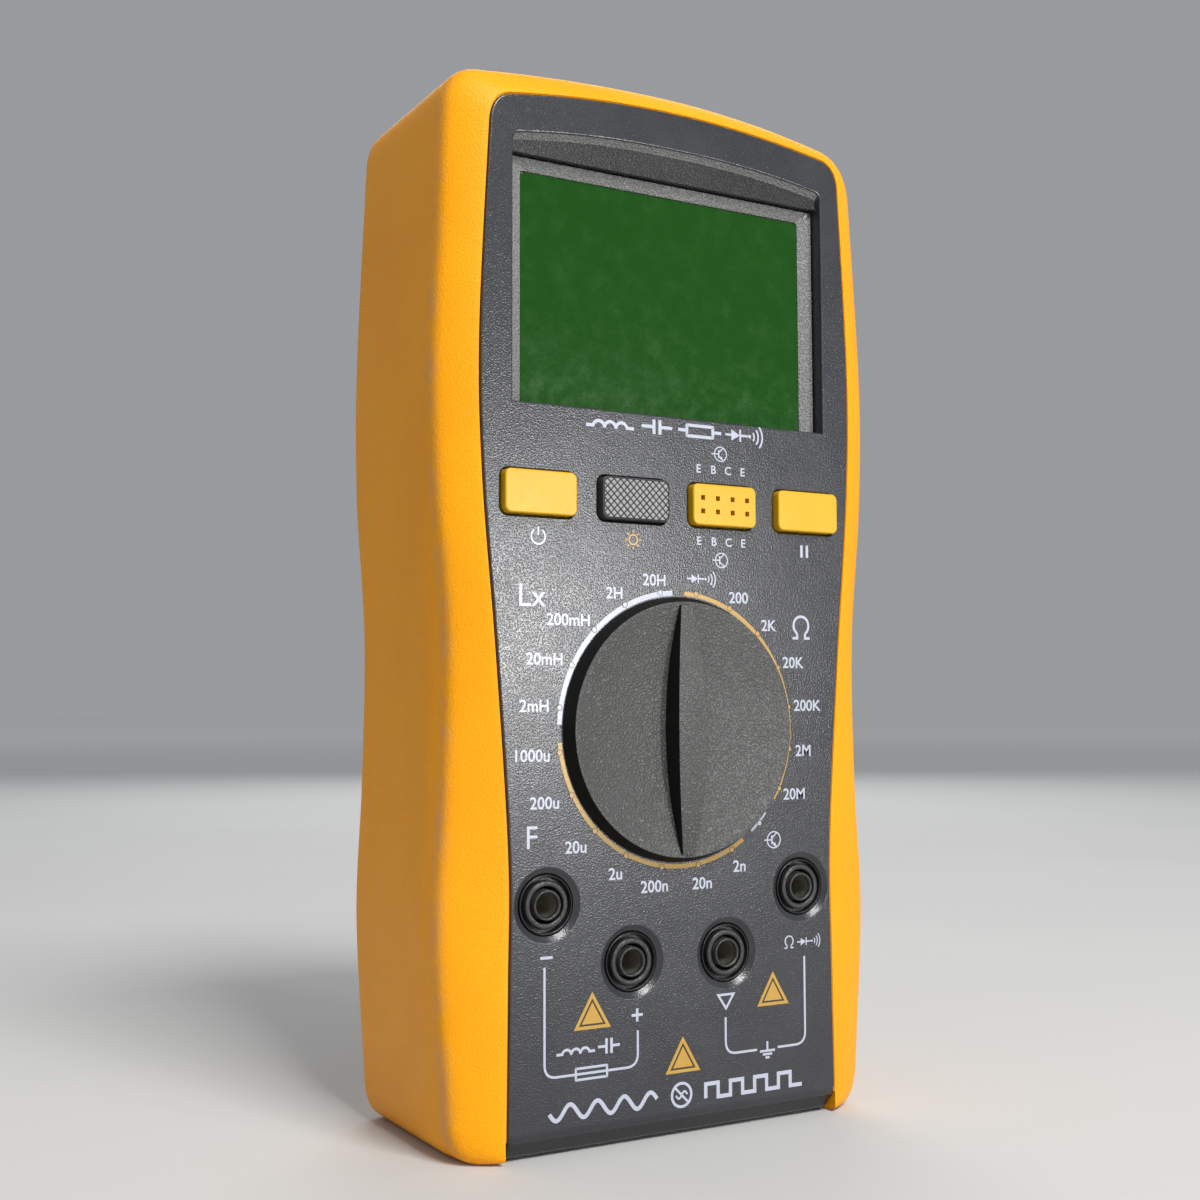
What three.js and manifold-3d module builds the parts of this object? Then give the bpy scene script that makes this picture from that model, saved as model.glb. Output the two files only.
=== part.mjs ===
// LCR meter: a hand-held inductance, capacitance and resistance meter in a rubber boot.
//
// All sizes are in millimetres. +X is to the right of a person reading the meter, +Y goes into its
// depth and +Z is up, so the front faces -Y. The origin is on the base plane, under the middle of the
// overall box. Depths are counted back from the face of the front panel: y = PANEL_Y + depth.

import * as THREE from "three";
import { mergeVertices } from "three/addons/utils/BufferGeometryUtils.js";
import Module from "manifold-3d";

const wasm = await Module();
wasm.setup();

// ---------------------------------------------------------------- driving dimensions

const PANEL_Y = -18.6;       // the face of the front panel
const GAP = 0.3;             // clearance between neighbouring pieces
const WALL = 2.2;            // wall of the two case shells
const PLATEAU_DEPTH = 6;     // the raised front panel stands this far out of the case
const SPLIT_DEPTH = 20;      // the case's parting line
const CASE_BACK = 38.7;      // outside of the case's back wall
const BOOT_BACK = 42.2;      // outside of the boot's back wall
const BOOT_WALL = 3.5;       // the boot's side walls
const BOOT_BEVEL = 5.2;      // depth of the ridge round the boot's front bevel
const BOOT_SQUARED = 10;     // depth at which its corners have reached their full squareness

const DIAL_Z = 73;           // height of the range switch's axis
const KNOB_RADIUS = 24;
const KNOB_FACE_RADIUS = 23;
const KNOB_RIM = 2.8;        // rim height above the panel
const KNOB_DISH = 1.2;       // face height beside the grip
const GRIP_HEIGHT = 5;
const GRIP_END_HEIGHT = 3.2;
const GRIP_HALF_LENGTH = 22.4;
const GRIP_HALF_WIDTH = 3.7;
const GRIP_END_HALF_WIDTH = 1.6;
const HUB_RADIUS = 7.7;
const HUB_END = 9;
const DETENT_COUNT = 40;     // stops every 9 degrees

const KEY_Z = DIAL_Z + 41.3;
const KEY_X = { power: -28.9, backlight: -9.6, socket: 9.6, hold: 28.9 };
const KEY_WIDTH = 14.1;
const KEY_HEIGHT = 7.7;
const KEY_CORNER = 1.2;
const KEY_PROUD = 1.5;
const KEY_FLANGE = { side: 0.6, end: 1.2 };
const KEY_STEM_END = 8.4;
const SWITCH_TOP = 10;

const JACKS = [
  [-27.1, DIAL_Z - 30],
  [-10.1, DIAL_Z - 41],
  [10.1, DIAL_Z - 41],
  [27.1, DIAL_Z - 30],
];
const JACK_BEVEL_RADIUS = 6.3;
const JACK_HOLE_RADIUS = 5.3;
const JACK_COLLAR_RADIUS = 4.2;
const JACK_FLANGE_RADIUS = 6;
const JACK_SHROUD_RADIUS = 3.2;
const JACK_SLEEVE_RADIUS = 2.7;
const JACK_BORE_RADIUS = 2;  // for a 4 mm plug

const DISPLAY_HALF = 33.8;
const DISPLAY_BOTTOM = 130.3;
const DISPLAY_STEP = 175.1;  // straight edge between the brow and the bezel
const DISPLAY_SHOULDER = 178.2;
const DISPLAY_CROWN = 180.7;
const BROW_DEPTH = 1.3;
const BEZEL_FRONT = 2.7;
const BEZEL_INNER = 3.5;
const BEZEL_BACK = 4.9;
const WINDOW_HALF = 30.7;
const WINDOW_TOP = 172.7;
const WINDOW_FRONT = 3.6;

const BOARD_FRONT = 15.6;
const BOARD_BACK = 17.2;
const BOARD_HALF = 36;
const BOARD_BOTTOM = 12;
const BOARD_TOP = 180;
const BEHIND_BOARD = BOARD_BACK + GAP;

const CASE_SCREWS = [[-35, 14], [35, 14], [-35, 177], [35, 177]];
const BOARD_SCREWS = [[-31, 20], [31, 20], [-34, 124.5], [34, 124.5]];

const DOOR = { half: 28, bottom: 14, top: 48, front: 36.9, screwX: -25, screwZ: 44.5 };
const DOOR_SCREW = { tip: 33.6, seat: CASE_BACK - 0.7, headRadius: 2.6, shankRadius: 1.2 };
const STAND = {
  half: 24.3,
  bottom: 55,
  hingeZ: 140,
  front: 39.4,
  back: 41.8,
  pinRadius: 0.8,
  pinHalf: 27.4,
};
const STAND_PIN_DEPTH = (STAND.front + STAND.back) / 2;

// ---------------------------------------------------------------- outlines in the X-Z plane

// A closed outline that is the same on the left and right: round heels, a waisted side through a few
// points, round shoulders and a crowned top. Points run anticlockwise seen from the front.
const HEEL_STEPS = 3;
const SIDE_STEPS = 12;
const SHOULDER_STEPS = 4;
const CROWN_STEPS = 3;

function bodyOutline(form) {
  const side = form.side.map(([x, z]) => new THREE.Vector2(x, z));
  const foot = new THREE.Vector2(form.footHalf, form.base);
  const heel = new THREE.Vector2(side[0].x, form.base);
  const crownStart = new THREE.Vector2(...form.crownStart);
  const crownMiddle = new THREE.Vector2(0, form.crown);
  const crownPull = new THREE.Vector2(crownStart.x / 2, form.crown);
  const shoulder = new THREE.Vector2(...form.shoulder);
  const curves = [
    new THREE.QuadraticBezierCurve(foot, heel, side[0]).getPoints(HEEL_STEPS),
    new THREE.SplineCurve(side).getPoints(SIDE_STEPS).slice(1),
    new THREE.QuadraticBezierCurve(side.at(-1), shoulder, crownStart).getPoints(SHOULDER_STEPS).slice(1),
    new THREE.QuadraticBezierCurve(crownStart, crownPull, crownMiddle).getPoints(CROWN_STEPS).slice(1),
  ];
  const right = curves.flat();
  const left = right.slice(0, -1).map((point) => new THREE.Vector2(-point.x, point.y)).reverse();
  return [...right, ...left];
}

// The raised panel, with its lower edge at a given height and lower corners of a given radius.
function panelOutline(base, heel = 1.2) {
  const half = 34.6;
  return bodyOutline({
    base,
    footHalf: half - heel,
    side: [[half, base + heel], [34.3, 30], [34.3, 52], [36.7, 86], [39.4, 117], [40, 142], [38.2, 179.5]],
    shoulder: [37.8, 184.6],
    crownStart: [33.5, 185],
    crown: 187.7,
  });
}

// The boot at the ridge of its bevel, and its slightly fuller, squarer body behind the ridge.
const BOOT_RIDGE_FORM = {
  base: 0,
  footHalf: 38,
  side: [[44, 10], [45.9, 38], [44.7, 63], [44.3, 90], [46.6, 117], [47, 142], [44.7, 179]],
  shoulder: [43.9, 187.8],
  crownStart: [36.5, 189],
  crown: 192.5,
};
const BOOT_BODY_FORM = {
  base: 0,
  footHalf: 38.6,
  side: [[44.4, 9], [46.2, 38], [45.3, 63], [45, 90], [46.8, 117], [47, 142], [45.4, 181]],
  shoulder: [45.2, 190],
  crownStart: [38.6, 190.2],
  crown: 192.5,
};

const PANEL_BASE = 0.5;
const PANEL = panelOutline(PANEL_BASE);
const BOOT = bodyOutline(BOOT_RIDGE_FORM);
const BOOT_BODY = bodyOutline(BOOT_BODY_FORM);

// Moves every side of a closed outline inwards by the same amount.
function inset(points, amount) {
  const inward = (from, to) => new THREE.Vector2(from.y - to.y, to.x - from.x).normalize();
  return points.map((point, index) => {
    const before = points[(index + points.length - 1) % points.length];
    const after = points[(index + 1) % points.length];
    const both = inward(before, point).add(inward(point, after));
    return point.clone().addScaledVector(both, (2 * amount) / both.lengthSq());
  });
}

const CASE = inset(BOOT, BOOT_WALL);

function mixOutlines(from, to, share) {
  return from.map((point, index) => point.clone().lerp(to[index], share));
}

function roundedRectangle(halfWidth, halfHeight, radius, x = 0, z = 0) {
  const steps = 3;
  const corners = [[1, -1, -90], [1, 1, 0], [-1, 1, 90], [-1, -1, 180]];
  return corners.flatMap(([sideX, sideZ, start]) => {
    const points = [];
    for (let step = 0; step <= steps; step += 1) {
      const angle = THREE.MathUtils.degToRad(start + (90 * step) / steps);
      points.push(new THREE.Vector2(
        x + sideX * (halfWidth - radius) + radius * Math.cos(angle),
        z + sideZ * (halfHeight - radius) + radius * Math.sin(angle),
      ));
    }
    return points;
  });
}

function rectangle(x0, x1, z0, z1) {
  return [[x0, z0], [x1, z0], [x1, z1], [x0, z1]].map(([x, z]) => new THREE.Vector2(x, z));
}

// ---------------------------------------------------------------- solids

// Turns a closed geometry into a solid: shared corners are joined and flat slivers are left out.
function solid(geometry) {
  const bare = geometry.clone();
  bare.deleteAttribute("normal");
  bare.deleteAttribute("uv");
  const merged = mergeVertices(bare, 1e-4);
  const faces = [];
  for (let start = 0; start < merged.index.count; start += 3) {
    const [a, b, c] = [0, 1, 2].map((corner) => merged.index.getX(start + corner));
    if (a !== b && b !== c && c !== a) {
      faces.push(a, b, c);
    }
  }
  const positions = merged.attributes.position.array;
  if (signedVolume(positions, faces) < 0) {
    faces.reverse();
  }
  return new wasm.Manifold(new wasm.Mesh({
    numProp: 3,
    vertProperties: new Float32Array(positions),
    triVerts: new Uint32Array(faces),
  }));
}

function signedVolume(positions, faces) {
  const corner = (index) => new THREE.Vector3().fromArray(positions, 3 * index);
  let volume = 0;
  for (let start = 0; start < faces.length; start += 3) {
    const normal = corner(faces[start + 1]).cross(corner(faces[start + 2]));
    volume += corner(faces[start]).dot(normal) / 6;
  }
  return volume;
}

function join(...parts) {
  return parts.reduce((whole, part) => whole.add(part));
}

function cut(whole, ...tools) {
  return tools.reduce((rest, tool) => rest.subtract(tool), whole);
}

// A solid through a row of outlines, front to back, each { points, depth } with the same count.
function loft(rings) {
  const count = rings[0].points.length;
  const positions = rings.flatMap((ring) => ring.points.flatMap((p) => [p.x, PANEL_Y + ring.depth, p.y]));
  const faces = [];
  for (let ring = 0; ring + 1 < rings.length; ring += 1) {
    for (let index = 0; index < count; index += 1) {
      const here = ring * count + index;
      const next = ring * count + ((index + 1) % count);
      faces.push(here, here + count, next, next, here + count, next + count);
    }
  }
  const last = (rings.length - 1) * count;
  for (const [a, b, c] of THREE.ShapeUtils.triangulateShape(rings[0].points, [])) {
    faces.push(a, b, c);
  }
  for (const [a, b, c] of THREE.ShapeUtils.triangulateShape(rings[rings.length - 1].points, [])) {
    faces.push(last + c, last + b, last + a);
  }
  const geometry = new THREE.BufferGeometry();
  geometry.setAttribute("position", new THREE.Float32BufferAttribute(positions, 3));
  geometry.setIndex(faces);
  return solid(geometry);
}

function slab(points, front, back) {
  return loft([{ points, depth: front }, { points, depth: back }]);
}

function block(x0, x1, front, back, z0, z1) {
  const box = new THREE.BoxGeometry(x1 - x0, back - front, z1 - z0);
  box.translate((x0 + x1) / 2, PANEL_Y + (front + back) / 2, (z0 + z1) / 2);
  return solid(box);
}

// A turned solid about an axis along the depth: the profile is a list of [radius, depth].
function turned(profile, x, z, segments = 16) {
  const points = profile.map(([radius, depth]) => new THREE.Vector2(radius, depth));
  const lathe = new THREE.LatheGeometry(points, segments);
  lathe.translate(x, PANEL_Y, z);
  return solid(lathe);
}

function drum(radius, front, back, x, z, segments = 16) {
  return turned([[0, front], [radius, front], [radius, back], [0, back]], x, z, segments);
}

// A round bar along X.
function crossbar(radius, x0, x1, depth, z, segments = 12) {
  const bar = new THREE.CylinderGeometry(radius, radius, x1 - x0, segments);
  bar.rotateZ(Math.PI / 2);
  bar.translate((x0 + x1) / 2, PANEL_Y + depth, z);
  return solid(bar);
}

// A round wire or lead along a curve.
function wire(curve, radius, steps, sides) {
  const section = new THREE.Shape();
  for (let side = 0; side < sides; side += 1) {
    const angle = (2 * Math.PI * side) / sides;
    const draw = side === 0 ? "moveTo" : "lineTo";
    section[draw](radius * Math.cos(angle), radius * Math.sin(angle));
  }
  section.closePath();
  return solid(new THREE.ExtrudeGeometry(section, { steps, extrudePath: curve, bevelEnabled: false }));
}

// ---------------------------------------------------------------- the scene

const meter = new THREE.Group();
meter.name = "lcr_meter";

const LOOKS = {
  boot: { color: 0xf7a81c, roughness: 0.75, metalness: 0 },
  panel: { color: 0x3d3f44, roughness: 0.6, metalness: 0 },
  knob: { color: 0x4c4c4c, roughness: 0.7, metalness: 0 },
  key: { color: 0xf2c23c, roughness: 0.5, metalness: 0 },
  window: { color: 0x1f5a17, roughness: 0.25, metalness: 0 },
  glass: { color: 0x9fb59a, roughness: 0.1, metalness: 0 },
  white: { color: 0xe6e6df, roughness: 0.6, metalness: 0 },
  black: { color: 0x1a1a1b, roughness: 0.55, metalness: 0 },
  board: { color: 0x1d5e36, roughness: 0.45, metalness: 0 },
  brass: { color: 0xc29a4b, roughness: 0.3, metalness: 1 },
  steel: { color: 0xb8babd, roughness: 0.3, metalness: 1 },
  label: { color: 0x5b6270, roughness: 0.4, metalness: 0.3 },
  red: { color: 0xb3221c, roughness: 0.5, metalness: 0 },
};

const MATERIALS = Object.fromEntries(
  Object.entries(LOOKS).map(([name, look]) => [name, new THREE.MeshStandardMaterial(look)]),
);

function place(name, shape, material) {
  const { vertProperties, triVerts } = shape.getMesh();
  const geometry = new THREE.BufferGeometry();
  geometry.setAttribute("position", new THREE.BufferAttribute(vertProperties, 3));
  geometry.setIndex(new THREE.BufferAttribute(triVerts, 1));
  geometry.computeVertexNormals();
  const mesh = new THREE.Mesh(geometry, MATERIALS[material]);
  mesh.name = name;
  meter.add(mesh);
}

// ---------------------------------------------------------------- boot

// The opening in the boot's back: wide over the battery door, narrow between the stand's two hinge ears.
const BACK_WINDOW = { half: 33, neckHalf: 25, bottom: 10, neck: 132, top: 143 };

function backWindow() {
  const { half, neckHalf, bottom, neck, top } = BACK_WINDOW;
  const right = [[half, bottom], [half, neck], [neckHalf, neck], [neckHalf, top]];
  const left = right.map(([x, z]) => [-x, z]).reverse();
  return [...right, ...left].map(([x, z]) => new THREE.Vector2(x, z));
}

// The boot's outside: a rounded bevel from the panel's edge out to the ridge, straight sides and a
// rounded back edge. It is open in front, where the panel stands through it down to the base.
function holster() {
  const lipWidth = 1.1;
  const lip = inset(panelOutline(lipWidth), -lipWidth);
  const outside = loft([
    { points: lip, depth: 0 },
    { points: mixOutlines(lip, BOOT, 0.5), depth: 1.2 },
    { points: mixOutlines(lip, BOOT, 0.86), depth: 3 },
    { points: BOOT, depth: BOOT_BEVEL },
    { points: BOOT_BODY, depth: BOOT_SQUARED },
    { points: BOOT_BODY, depth: BOOT_BACK - 1.8 },
    { points: inset(BOOT_BODY, 0.5), depth: BOOT_BACK - 0.6 },
    { points: inset(BOOT_BODY, 1.4), depth: BOOT_BACK },
  ]);
  const panelRoom = inset(PANEL, -GAP);
  const footHalf = 34.9;
  const footTop = 4;
  const caseRoom = inset(CASE, -GAP);
  const caseEdge = 2.2;
  const pinHoleRadius = STAND.pinRadius + 0.25;
  const pinHoleEnd = STAND.pinHalf + 0.6;
  const pinHole = (x0, x1) => crossbar(pinHoleRadius, x0, x1, STAND_PIN_DEPTH, STAND.hingeZ);
  return cut(
    outside,
    slab(panelRoom, -1, PLATEAU_DEPTH),
    block(-footHalf, footHalf, -1, PLATEAU_DEPTH, -1, footTop),
    loft([
      { points: caseRoom, depth: PLATEAU_DEPTH - GAP },
      { points: caseRoom, depth: CASE_BACK - caseEdge + GAP },
      { points: inset(caseRoom, caseEdge), depth: CASE_BACK + GAP },
    ]),
    slab(backWindow(), CASE_BACK, BOOT_BACK + 1),
    pinHole(-pinHoleEnd, -BACK_WINDOW.neckHalf + 1),
    pinHole(BACK_WINDOW.neckHalf - 1, pinHoleEnd),
  );
}

// ---------------------------------------------------------------- case

function keyOutline(x, grow) {
  const corner = KEY_CORNER + Math.max(grow, 0);
  return roundedRectangle(KEY_WIDTH / 2 + grow, KEY_HEIGHT / 2 + grow, corner, x, KEY_Z);
}

// The display recess: a bevel under the crown, a shallow brow, then the opening for the bezel.
function displayRecess() {
  const browOutline = (shoulder, crown) => {
    const left = new THREE.Vector2(-DISPLAY_HALF, shoulder);
    const right = new THREE.Vector2(DISPLAY_HALF, shoulder);
    const pull = new THREE.Vector2(0, 2 * crown - shoulder);
    const arc = new THREE.QuadraticBezierCurve(right, pull, left).getPoints(6);
    return [...rectangle(-DISPLAY_HALF, DISPLAY_HALF, DISPLAY_BOTTOM, 0).slice(0, 2), ...arc];
  };
  const edge = browOutline(DISPLAY_SHOULDER, DISPLAY_CROWN);
  const floor = browOutline(DISPLAY_SHOULDER - BROW_DEPTH, DISPLAY_CROWN - BROW_DEPTH);
  return join(
    loft([{ points: edge, depth: -1 }, { points: edge, depth: 0 }, { points: floor, depth: BROW_DEPTH }]),
    block(-DISPLAY_HALF, DISPLAY_HALF, -1, PLATEAU_DEPTH, DISPLAY_BOTTOM, DISPLAY_STEP),
  );
}

function frontCover() {
  const chamferTop = 4.3;
  const chamferDepth = 2.8;
  const plateau = loft([
    { points: panelOutline(chamferTop), depth: 0 },
    { points: PANEL, depth: chamferDepth },
    { points: PANEL, depth: PLATEAU_DEPTH },
  ]);
  const panelInside = inset(panelOutline(chamferTop, 2 * WALL), WALL);
  const shell = cut(
    join(plateau, slab(CASE, PLATEAU_DEPTH, SPLIT_DEPTH)),
    slab(panelInside, WALL, PLATEAU_DEPTH + WALL + 1),
    slab(inset(CASE, WALL), PLATEAU_DEPTH + WALL, SPLIT_DEPTH + 1),
  );
  const frameWidth = 2.5;
  const displayFrame = block(
    -DISPLAY_HALF - frameWidth, DISPLAY_HALF + frameWidth,
    WALL - 0.5, BEZEL_BACK,
    DISPLAY_BOTTOM - frameWidth, DISPLAY_CROWN + frameWidth,
  );
  const bosses = CASE_SCREWS.map(([x, z]) => drum(3.6, PLATEAU_DEPTH + 1, SPLIT_DEPTH, x, z, 12));
  const posts = BOARD_SCREWS.map(([x, z]) => drum(2.6, 1.5, BOARD_FRONT - GAP, x, z, 12));
  return cut(
    join(shell, displayFrame, ...bosses, ...posts),
    displayRecess(),
    ...Object.values(KEY_X).map((x) => slab(keyOutline(x, GAP), -1, WALL + 1)),
    ...JACKS.map(([x, z]) => turned([
      [0, -1],
      [JACK_BEVEL_RADIUS, -1],
      [JACK_BEVEL_RADIUS, 0],
      [JACK_HOLE_RADIUS, 0.9],
      [JACK_HOLE_RADIUS, WALL + 1],
      [0, WALL + 1],
    ], x, z)),
    ...JACKS.map(([x, z]) => drum(JACK_FLANGE_RADIUS + GAP, WALL, PLATEAU_DEPTH + WALL + 0.5, x, z)),
    drum(HUB_RADIUS + GAP, -1, WALL + 1, 0, DIAL_Z, 24),
    ...CASE_SCREWS.map(([x, z]) => drum(1.5, 9.5, SPLIT_DEPTH + 1, x, z, 10)),
    ...BOARD_SCREWS.map(([x, z]) => drum(1.5, 7, BOARD_FRONT + 1, x, z, 10)),
  );
}

const SCREW_HEAD_SEAT = 28;
const DOOR_BRACKET = { right: -22.4, front: 33, bottom: 41.5 };

function backCover() {
  const front = SPLIT_DEPTH + GAP;
  const edge = 2.2;
  const outside = loft([
    { points: CASE, depth: front },
    { points: CASE, depth: CASE_BACK - edge },
    { points: inset(CASE, edge), depth: CASE_BACK },
  ]);
  const inside = slab(inset(CASE, WALL), front - 1, CASE_BACK - WALL - 0.6);
  const bosses = CASE_SCREWS.map(([x, z]) => drum(4.1, front, CASE_BACK - 1, x, z, 12));
  const batteryWall = block(
    -DOOR.half, DOOR.half,
    BEHIND_BOARD + 0.5, CASE_BACK - 1,
    DOOR.top + 0.5, DOOR.top + 2,
  );
  const doorBracket = block(
    -DOOR.half, DOOR_BRACKET.right,
    DOOR_BRACKET.front, DOOR.front - GAP,
    DOOR_BRACKET.bottom, DOOR.top + 1,
  );
  const doorOpening = block(-DOOR.half, DOOR.half, CASE_BACK - 7, CASE_BACK + 1, DOOR.bottom, DOOR.top);
  return cut(
    join(cut(outside, inside, doorOpening), ...bosses, batteryWall, doorBracket),
    drum(1.8, DOOR_BRACKET.front - 1, CASE_BACK, DOOR.screwX, DOOR.screwZ, 12),
    ...CASE_SCREWS.map(([x, z]) => drum(1.7, front - 1, SCREW_HEAD_SEAT + 1, x, z, 10)),
    ...CASE_SCREWS.map(([x, z]) => drum(3.1, SCREW_HEAD_SEAT, CASE_BACK + 1, x, z, 12)),
  );
}

// The battery door closes flush with the back wall and is held by one screw beside the battery.
function batteryDoor() {
  const halfHeight = (DOOR.top - DOOR.bottom) / 2;
  const plate = slab(
    roundedRectangle(DOOR.half - GAP, halfHeight - GAP, 1.5, 0, DOOR.bottom + halfHeight),
    DOOR.front,
    CASE_BACK,
  );
  const grooveHalf = 9;
  const grooveWidth = 1.2;
  const grooves = [19, 22, 25].map((z) => (
    block(-grooveHalf, grooveHalf, CASE_BACK - 0.7, CASE_BACK + 1, z, z + grooveWidth)
  ));
  return cut(
    plate,
    drum(DOOR_SCREW.shankRadius + 0.4, DOOR.front - 1, CASE_BACK + 1, DOOR.screwX, DOOR.screwZ, 12),
    drum(DOOR_SCREW.headRadius + GAP, DOOR_SCREW.seat - GAP, CASE_BACK + 1, DOOR.screwX, DOOR.screwZ, 12),
    ...grooves,
  );
}

// A plate that lies flush in the back of the boot and swings on two stub pins at its upper end. It has
// a shallow panel on its back and a finger recess under its lower edge.
const STAND_PANEL = { half: 17, halfHeight: 30, z: 98, depth: 0.9 };
const FINGER_RECESS = { half: 8, height: 5, depth: 0.9 };

function tiltStand() {
  const middle = (STAND.bottom + STAND.hingeZ) / 2;
  const plate = slab(
    roundedRectangle(STAND.half, (STAND.hingeZ - STAND.bottom) / 2, 1.2, 0, middle),
    STAND.front,
    STAND.back,
  );
  const barrelRadius = (STAND.back - STAND.front) / 2;
  return cut(
    join(
      plate,
      crossbar(barrelRadius, -STAND.half, STAND.half, STAND_PIN_DEPTH, STAND.hingeZ),
      crossbar(STAND.pinRadius, -STAND.pinHalf, STAND.pinHalf, STAND_PIN_DEPTH, STAND.hingeZ),
    ),
    slab(
      roundedRectangle(STAND_PANEL.half, STAND_PANEL.halfHeight, 3, 0, STAND_PANEL.z),
      STAND.back - STAND_PANEL.depth,
      STAND.back + 1,
    ),
    block(
      -FINGER_RECESS.half, FINGER_RECESS.half,
      STAND.front - 1, STAND.front + FINGER_RECESS.depth,
      STAND.bottom - 1, STAND.bottom + FINGER_RECESS.height,
    ),
  );
}

// ---------------------------------------------------------------- display

function displayBezel() {
  const outer = rectangle(-DISPLAY_HALF + GAP, DISPLAY_HALF - GAP, DISPLAY_BOTTOM + GAP, DISPLAY_STEP - GAP);
  const rim = rectangle(-DISPLAY_HALF + 0.8, DISPLAY_HALF - 0.8, 120, DISPLAY_STEP - 0.8);
  const opening = rectangle(-WINDOW_HALF, WINDOW_HALF, 120, WINDOW_TOP);
  return cut(
    slab(outer, BEZEL_FRONT, BEZEL_BACK),
    loft([
      { points: rim, depth: BEZEL_FRONT - 0.1 },
      { points: opening, depth: BEZEL_INNER },
      { points: opening, depth: BEZEL_BACK + 1 },
    ]),
  );
}

function displayWindow() {
  const flangeFront = BEZEL_BACK + GAP;
  return join(
    block(-34.6, 34.6, flangeFront, flangeFront + 1, 129.2, 173.1),
    block(
      -WINDOW_HALF + GAP, WINDOW_HALF - GAP,
      WINDOW_FRONT, flangeFront + 0.5,
      DISPLAY_BOTTOM + GAP, WINDOW_TOP - GAP,
    ),
  );
}

function displayParts() {
  place("display_bezel", displayBezel(), "panel");
  place("display_window", displayWindow(), "window");
  place("lcd_glass", block(-32, 32, 6.5, 9.3, 131.5, 172), "glass");
  place("lcd_backlight", block(-29, 29, 9.6, 12.6, 139, 165), "white");
  place("zebra_strip_lower", block(-28, 28, 9.6, BOARD_FRONT - GAP, 133, 136), "black");
  place("zebra_strip_upper", block(-28, 28, 9.6, BOARD_FRONT - GAP, 167.5, 170.5), "black");
}

// ---------------------------------------------------------------- range switch

// The knob's raised grip: a lens in plan, highest in the middle.
function gripSolid() {
  const stations = 12;
  const positions = [];
  const faces = [];
  const foot = -KNOB_DISH + 1;
  for (let station = 0; station <= stations; station += 1) {
    const along = -1 + (2 * station) / stations;
    const bulge = 1 - along * along;
    const half = GRIP_END_HALF_WIDTH + (GRIP_HALF_WIDTH - GRIP_END_HALF_WIDTH) * bulge;
    const top = -(GRIP_END_HEIGHT + (GRIP_HEIGHT - GRIP_END_HEIGHT) * bulge);
    const z = DIAL_Z + along * GRIP_HALF_LENGTH;
    for (const [x, depth] of [[-half, foot], [half, foot], [0.85 * half, top], [-0.85 * half, top]]) {
      positions.push(x, PANEL_Y + depth, z);
    }
  }
  for (let station = 0; station < stations; station += 1) {
    for (let side = 0; side < 4; side += 1) {
      const here = 4 * station + side;
      const next = 4 * station + ((side + 1) % 4);
      faces.push(here, next, here + 4, next, next + 4, here + 4);
    }
  }
  const last = 4 * stations;
  faces.push(0, 2, 1, 0, 3, 2, last, last + 1, last + 2, last, last + 2, last + 3);
  const geometry = new THREE.BufferGeometry();
  geometry.setAttribute("position", new THREE.Float32BufferAttribute(positions, 3));
  geometry.setIndex(faces);
  return solid(geometry);
}

function selectorKnob() {
  const body = turned([
    [0, -KNOB_DISH],
    [10, -KNOB_DISH - 0.1],
    [18, -KNOB_DISH - 0.7],
    [KNOB_FACE_RADIUS, -KNOB_RIM],
    [KNOB_RADIUS, -GAP],
    [HUB_RADIUS, -GAP],
    [HUB_RADIUS, HUB_END],
    [0, HUB_END],
  ], 0, DIAL_Z, 48);
  return join(body, gripSolid());
}

const ROTOR_FRONT = HUB_END + GAP;
const ROTOR_BACK = 13.3;
const ROTOR_RADIUS = 16.5;
const DETENT_DEPTH = (ROTOR_FRONT + ROTOR_BACK) / 2;
const BALL_RADIUS = 1.3;
const BALL_CENTRE = 17.4;
const RING_CREST = 19.05;
const RING_NOTCH = 0.7;
const RING_OUTER = 22;

function switchRotor() {
  const pocketStart = 10.5;
  const half = 1.5;
  const pocket = (x0, x1) => (
    block(x0, x1, DETENT_DEPTH - half, DETENT_DEPTH + half, DIAL_Z - half, DIAL_Z + half)
  );
  return cut(
    drum(ROTOR_RADIUS, ROTOR_FRONT, ROTOR_BACK, 0, DIAL_Z, 24),
    pocket(-ROTOR_RADIUS - 1, -pocketStart),
    pocket(pocketStart, ROTOR_RADIUS + 1),
  );
}

// The ring's inside is scalloped, one scallop for each stop.
function detentRing() {
  const outside = [];
  const inside = [];
  const pointsPerStop = 3;
  const total = DETENT_COUNT * pointsPerStop;
  for (let index = 0; index < total; index += 1) {
    const angle = (2 * Math.PI * index) / total;
    const depthOfScallop = index % pointsPerStop === 0 ? RING_NOTCH : 0;
    const radius = RING_CREST + depthOfScallop;
    inside.push(new THREE.Vector2(radius * Math.cos(angle), DIAL_Z + radius * Math.sin(angle)));
    if (index % pointsPerStop === 0) {
      outside.push(new THREE.Vector2(RING_OUTER * Math.cos(angle), DIAL_Z + RING_OUTER * Math.sin(angle)));
    }
  }
  const front = WALL + GAP;
  const back = BOARD_FRONT - GAP;
  return cut(slab(outside, front, back), slab(inside, front - 1, back + 1));
}

class CoilAlongX extends THREE.Curve {
  constructor(x0, x1, radius, turns) {
    super();
    Object.assign(this, { x0, x1, radius, turns });
  }

  getPoint(share, target = new THREE.Vector3()) {
    const angle = 2 * Math.PI * this.turns * share;
    return target.set(
      this.x0 + (this.x1 - this.x0) * share,
      PANEL_Y + DETENT_DEPTH + this.radius * Math.cos(angle),
      DIAL_Z + this.radius * Math.sin(angle),
    );
  }
}

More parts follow.
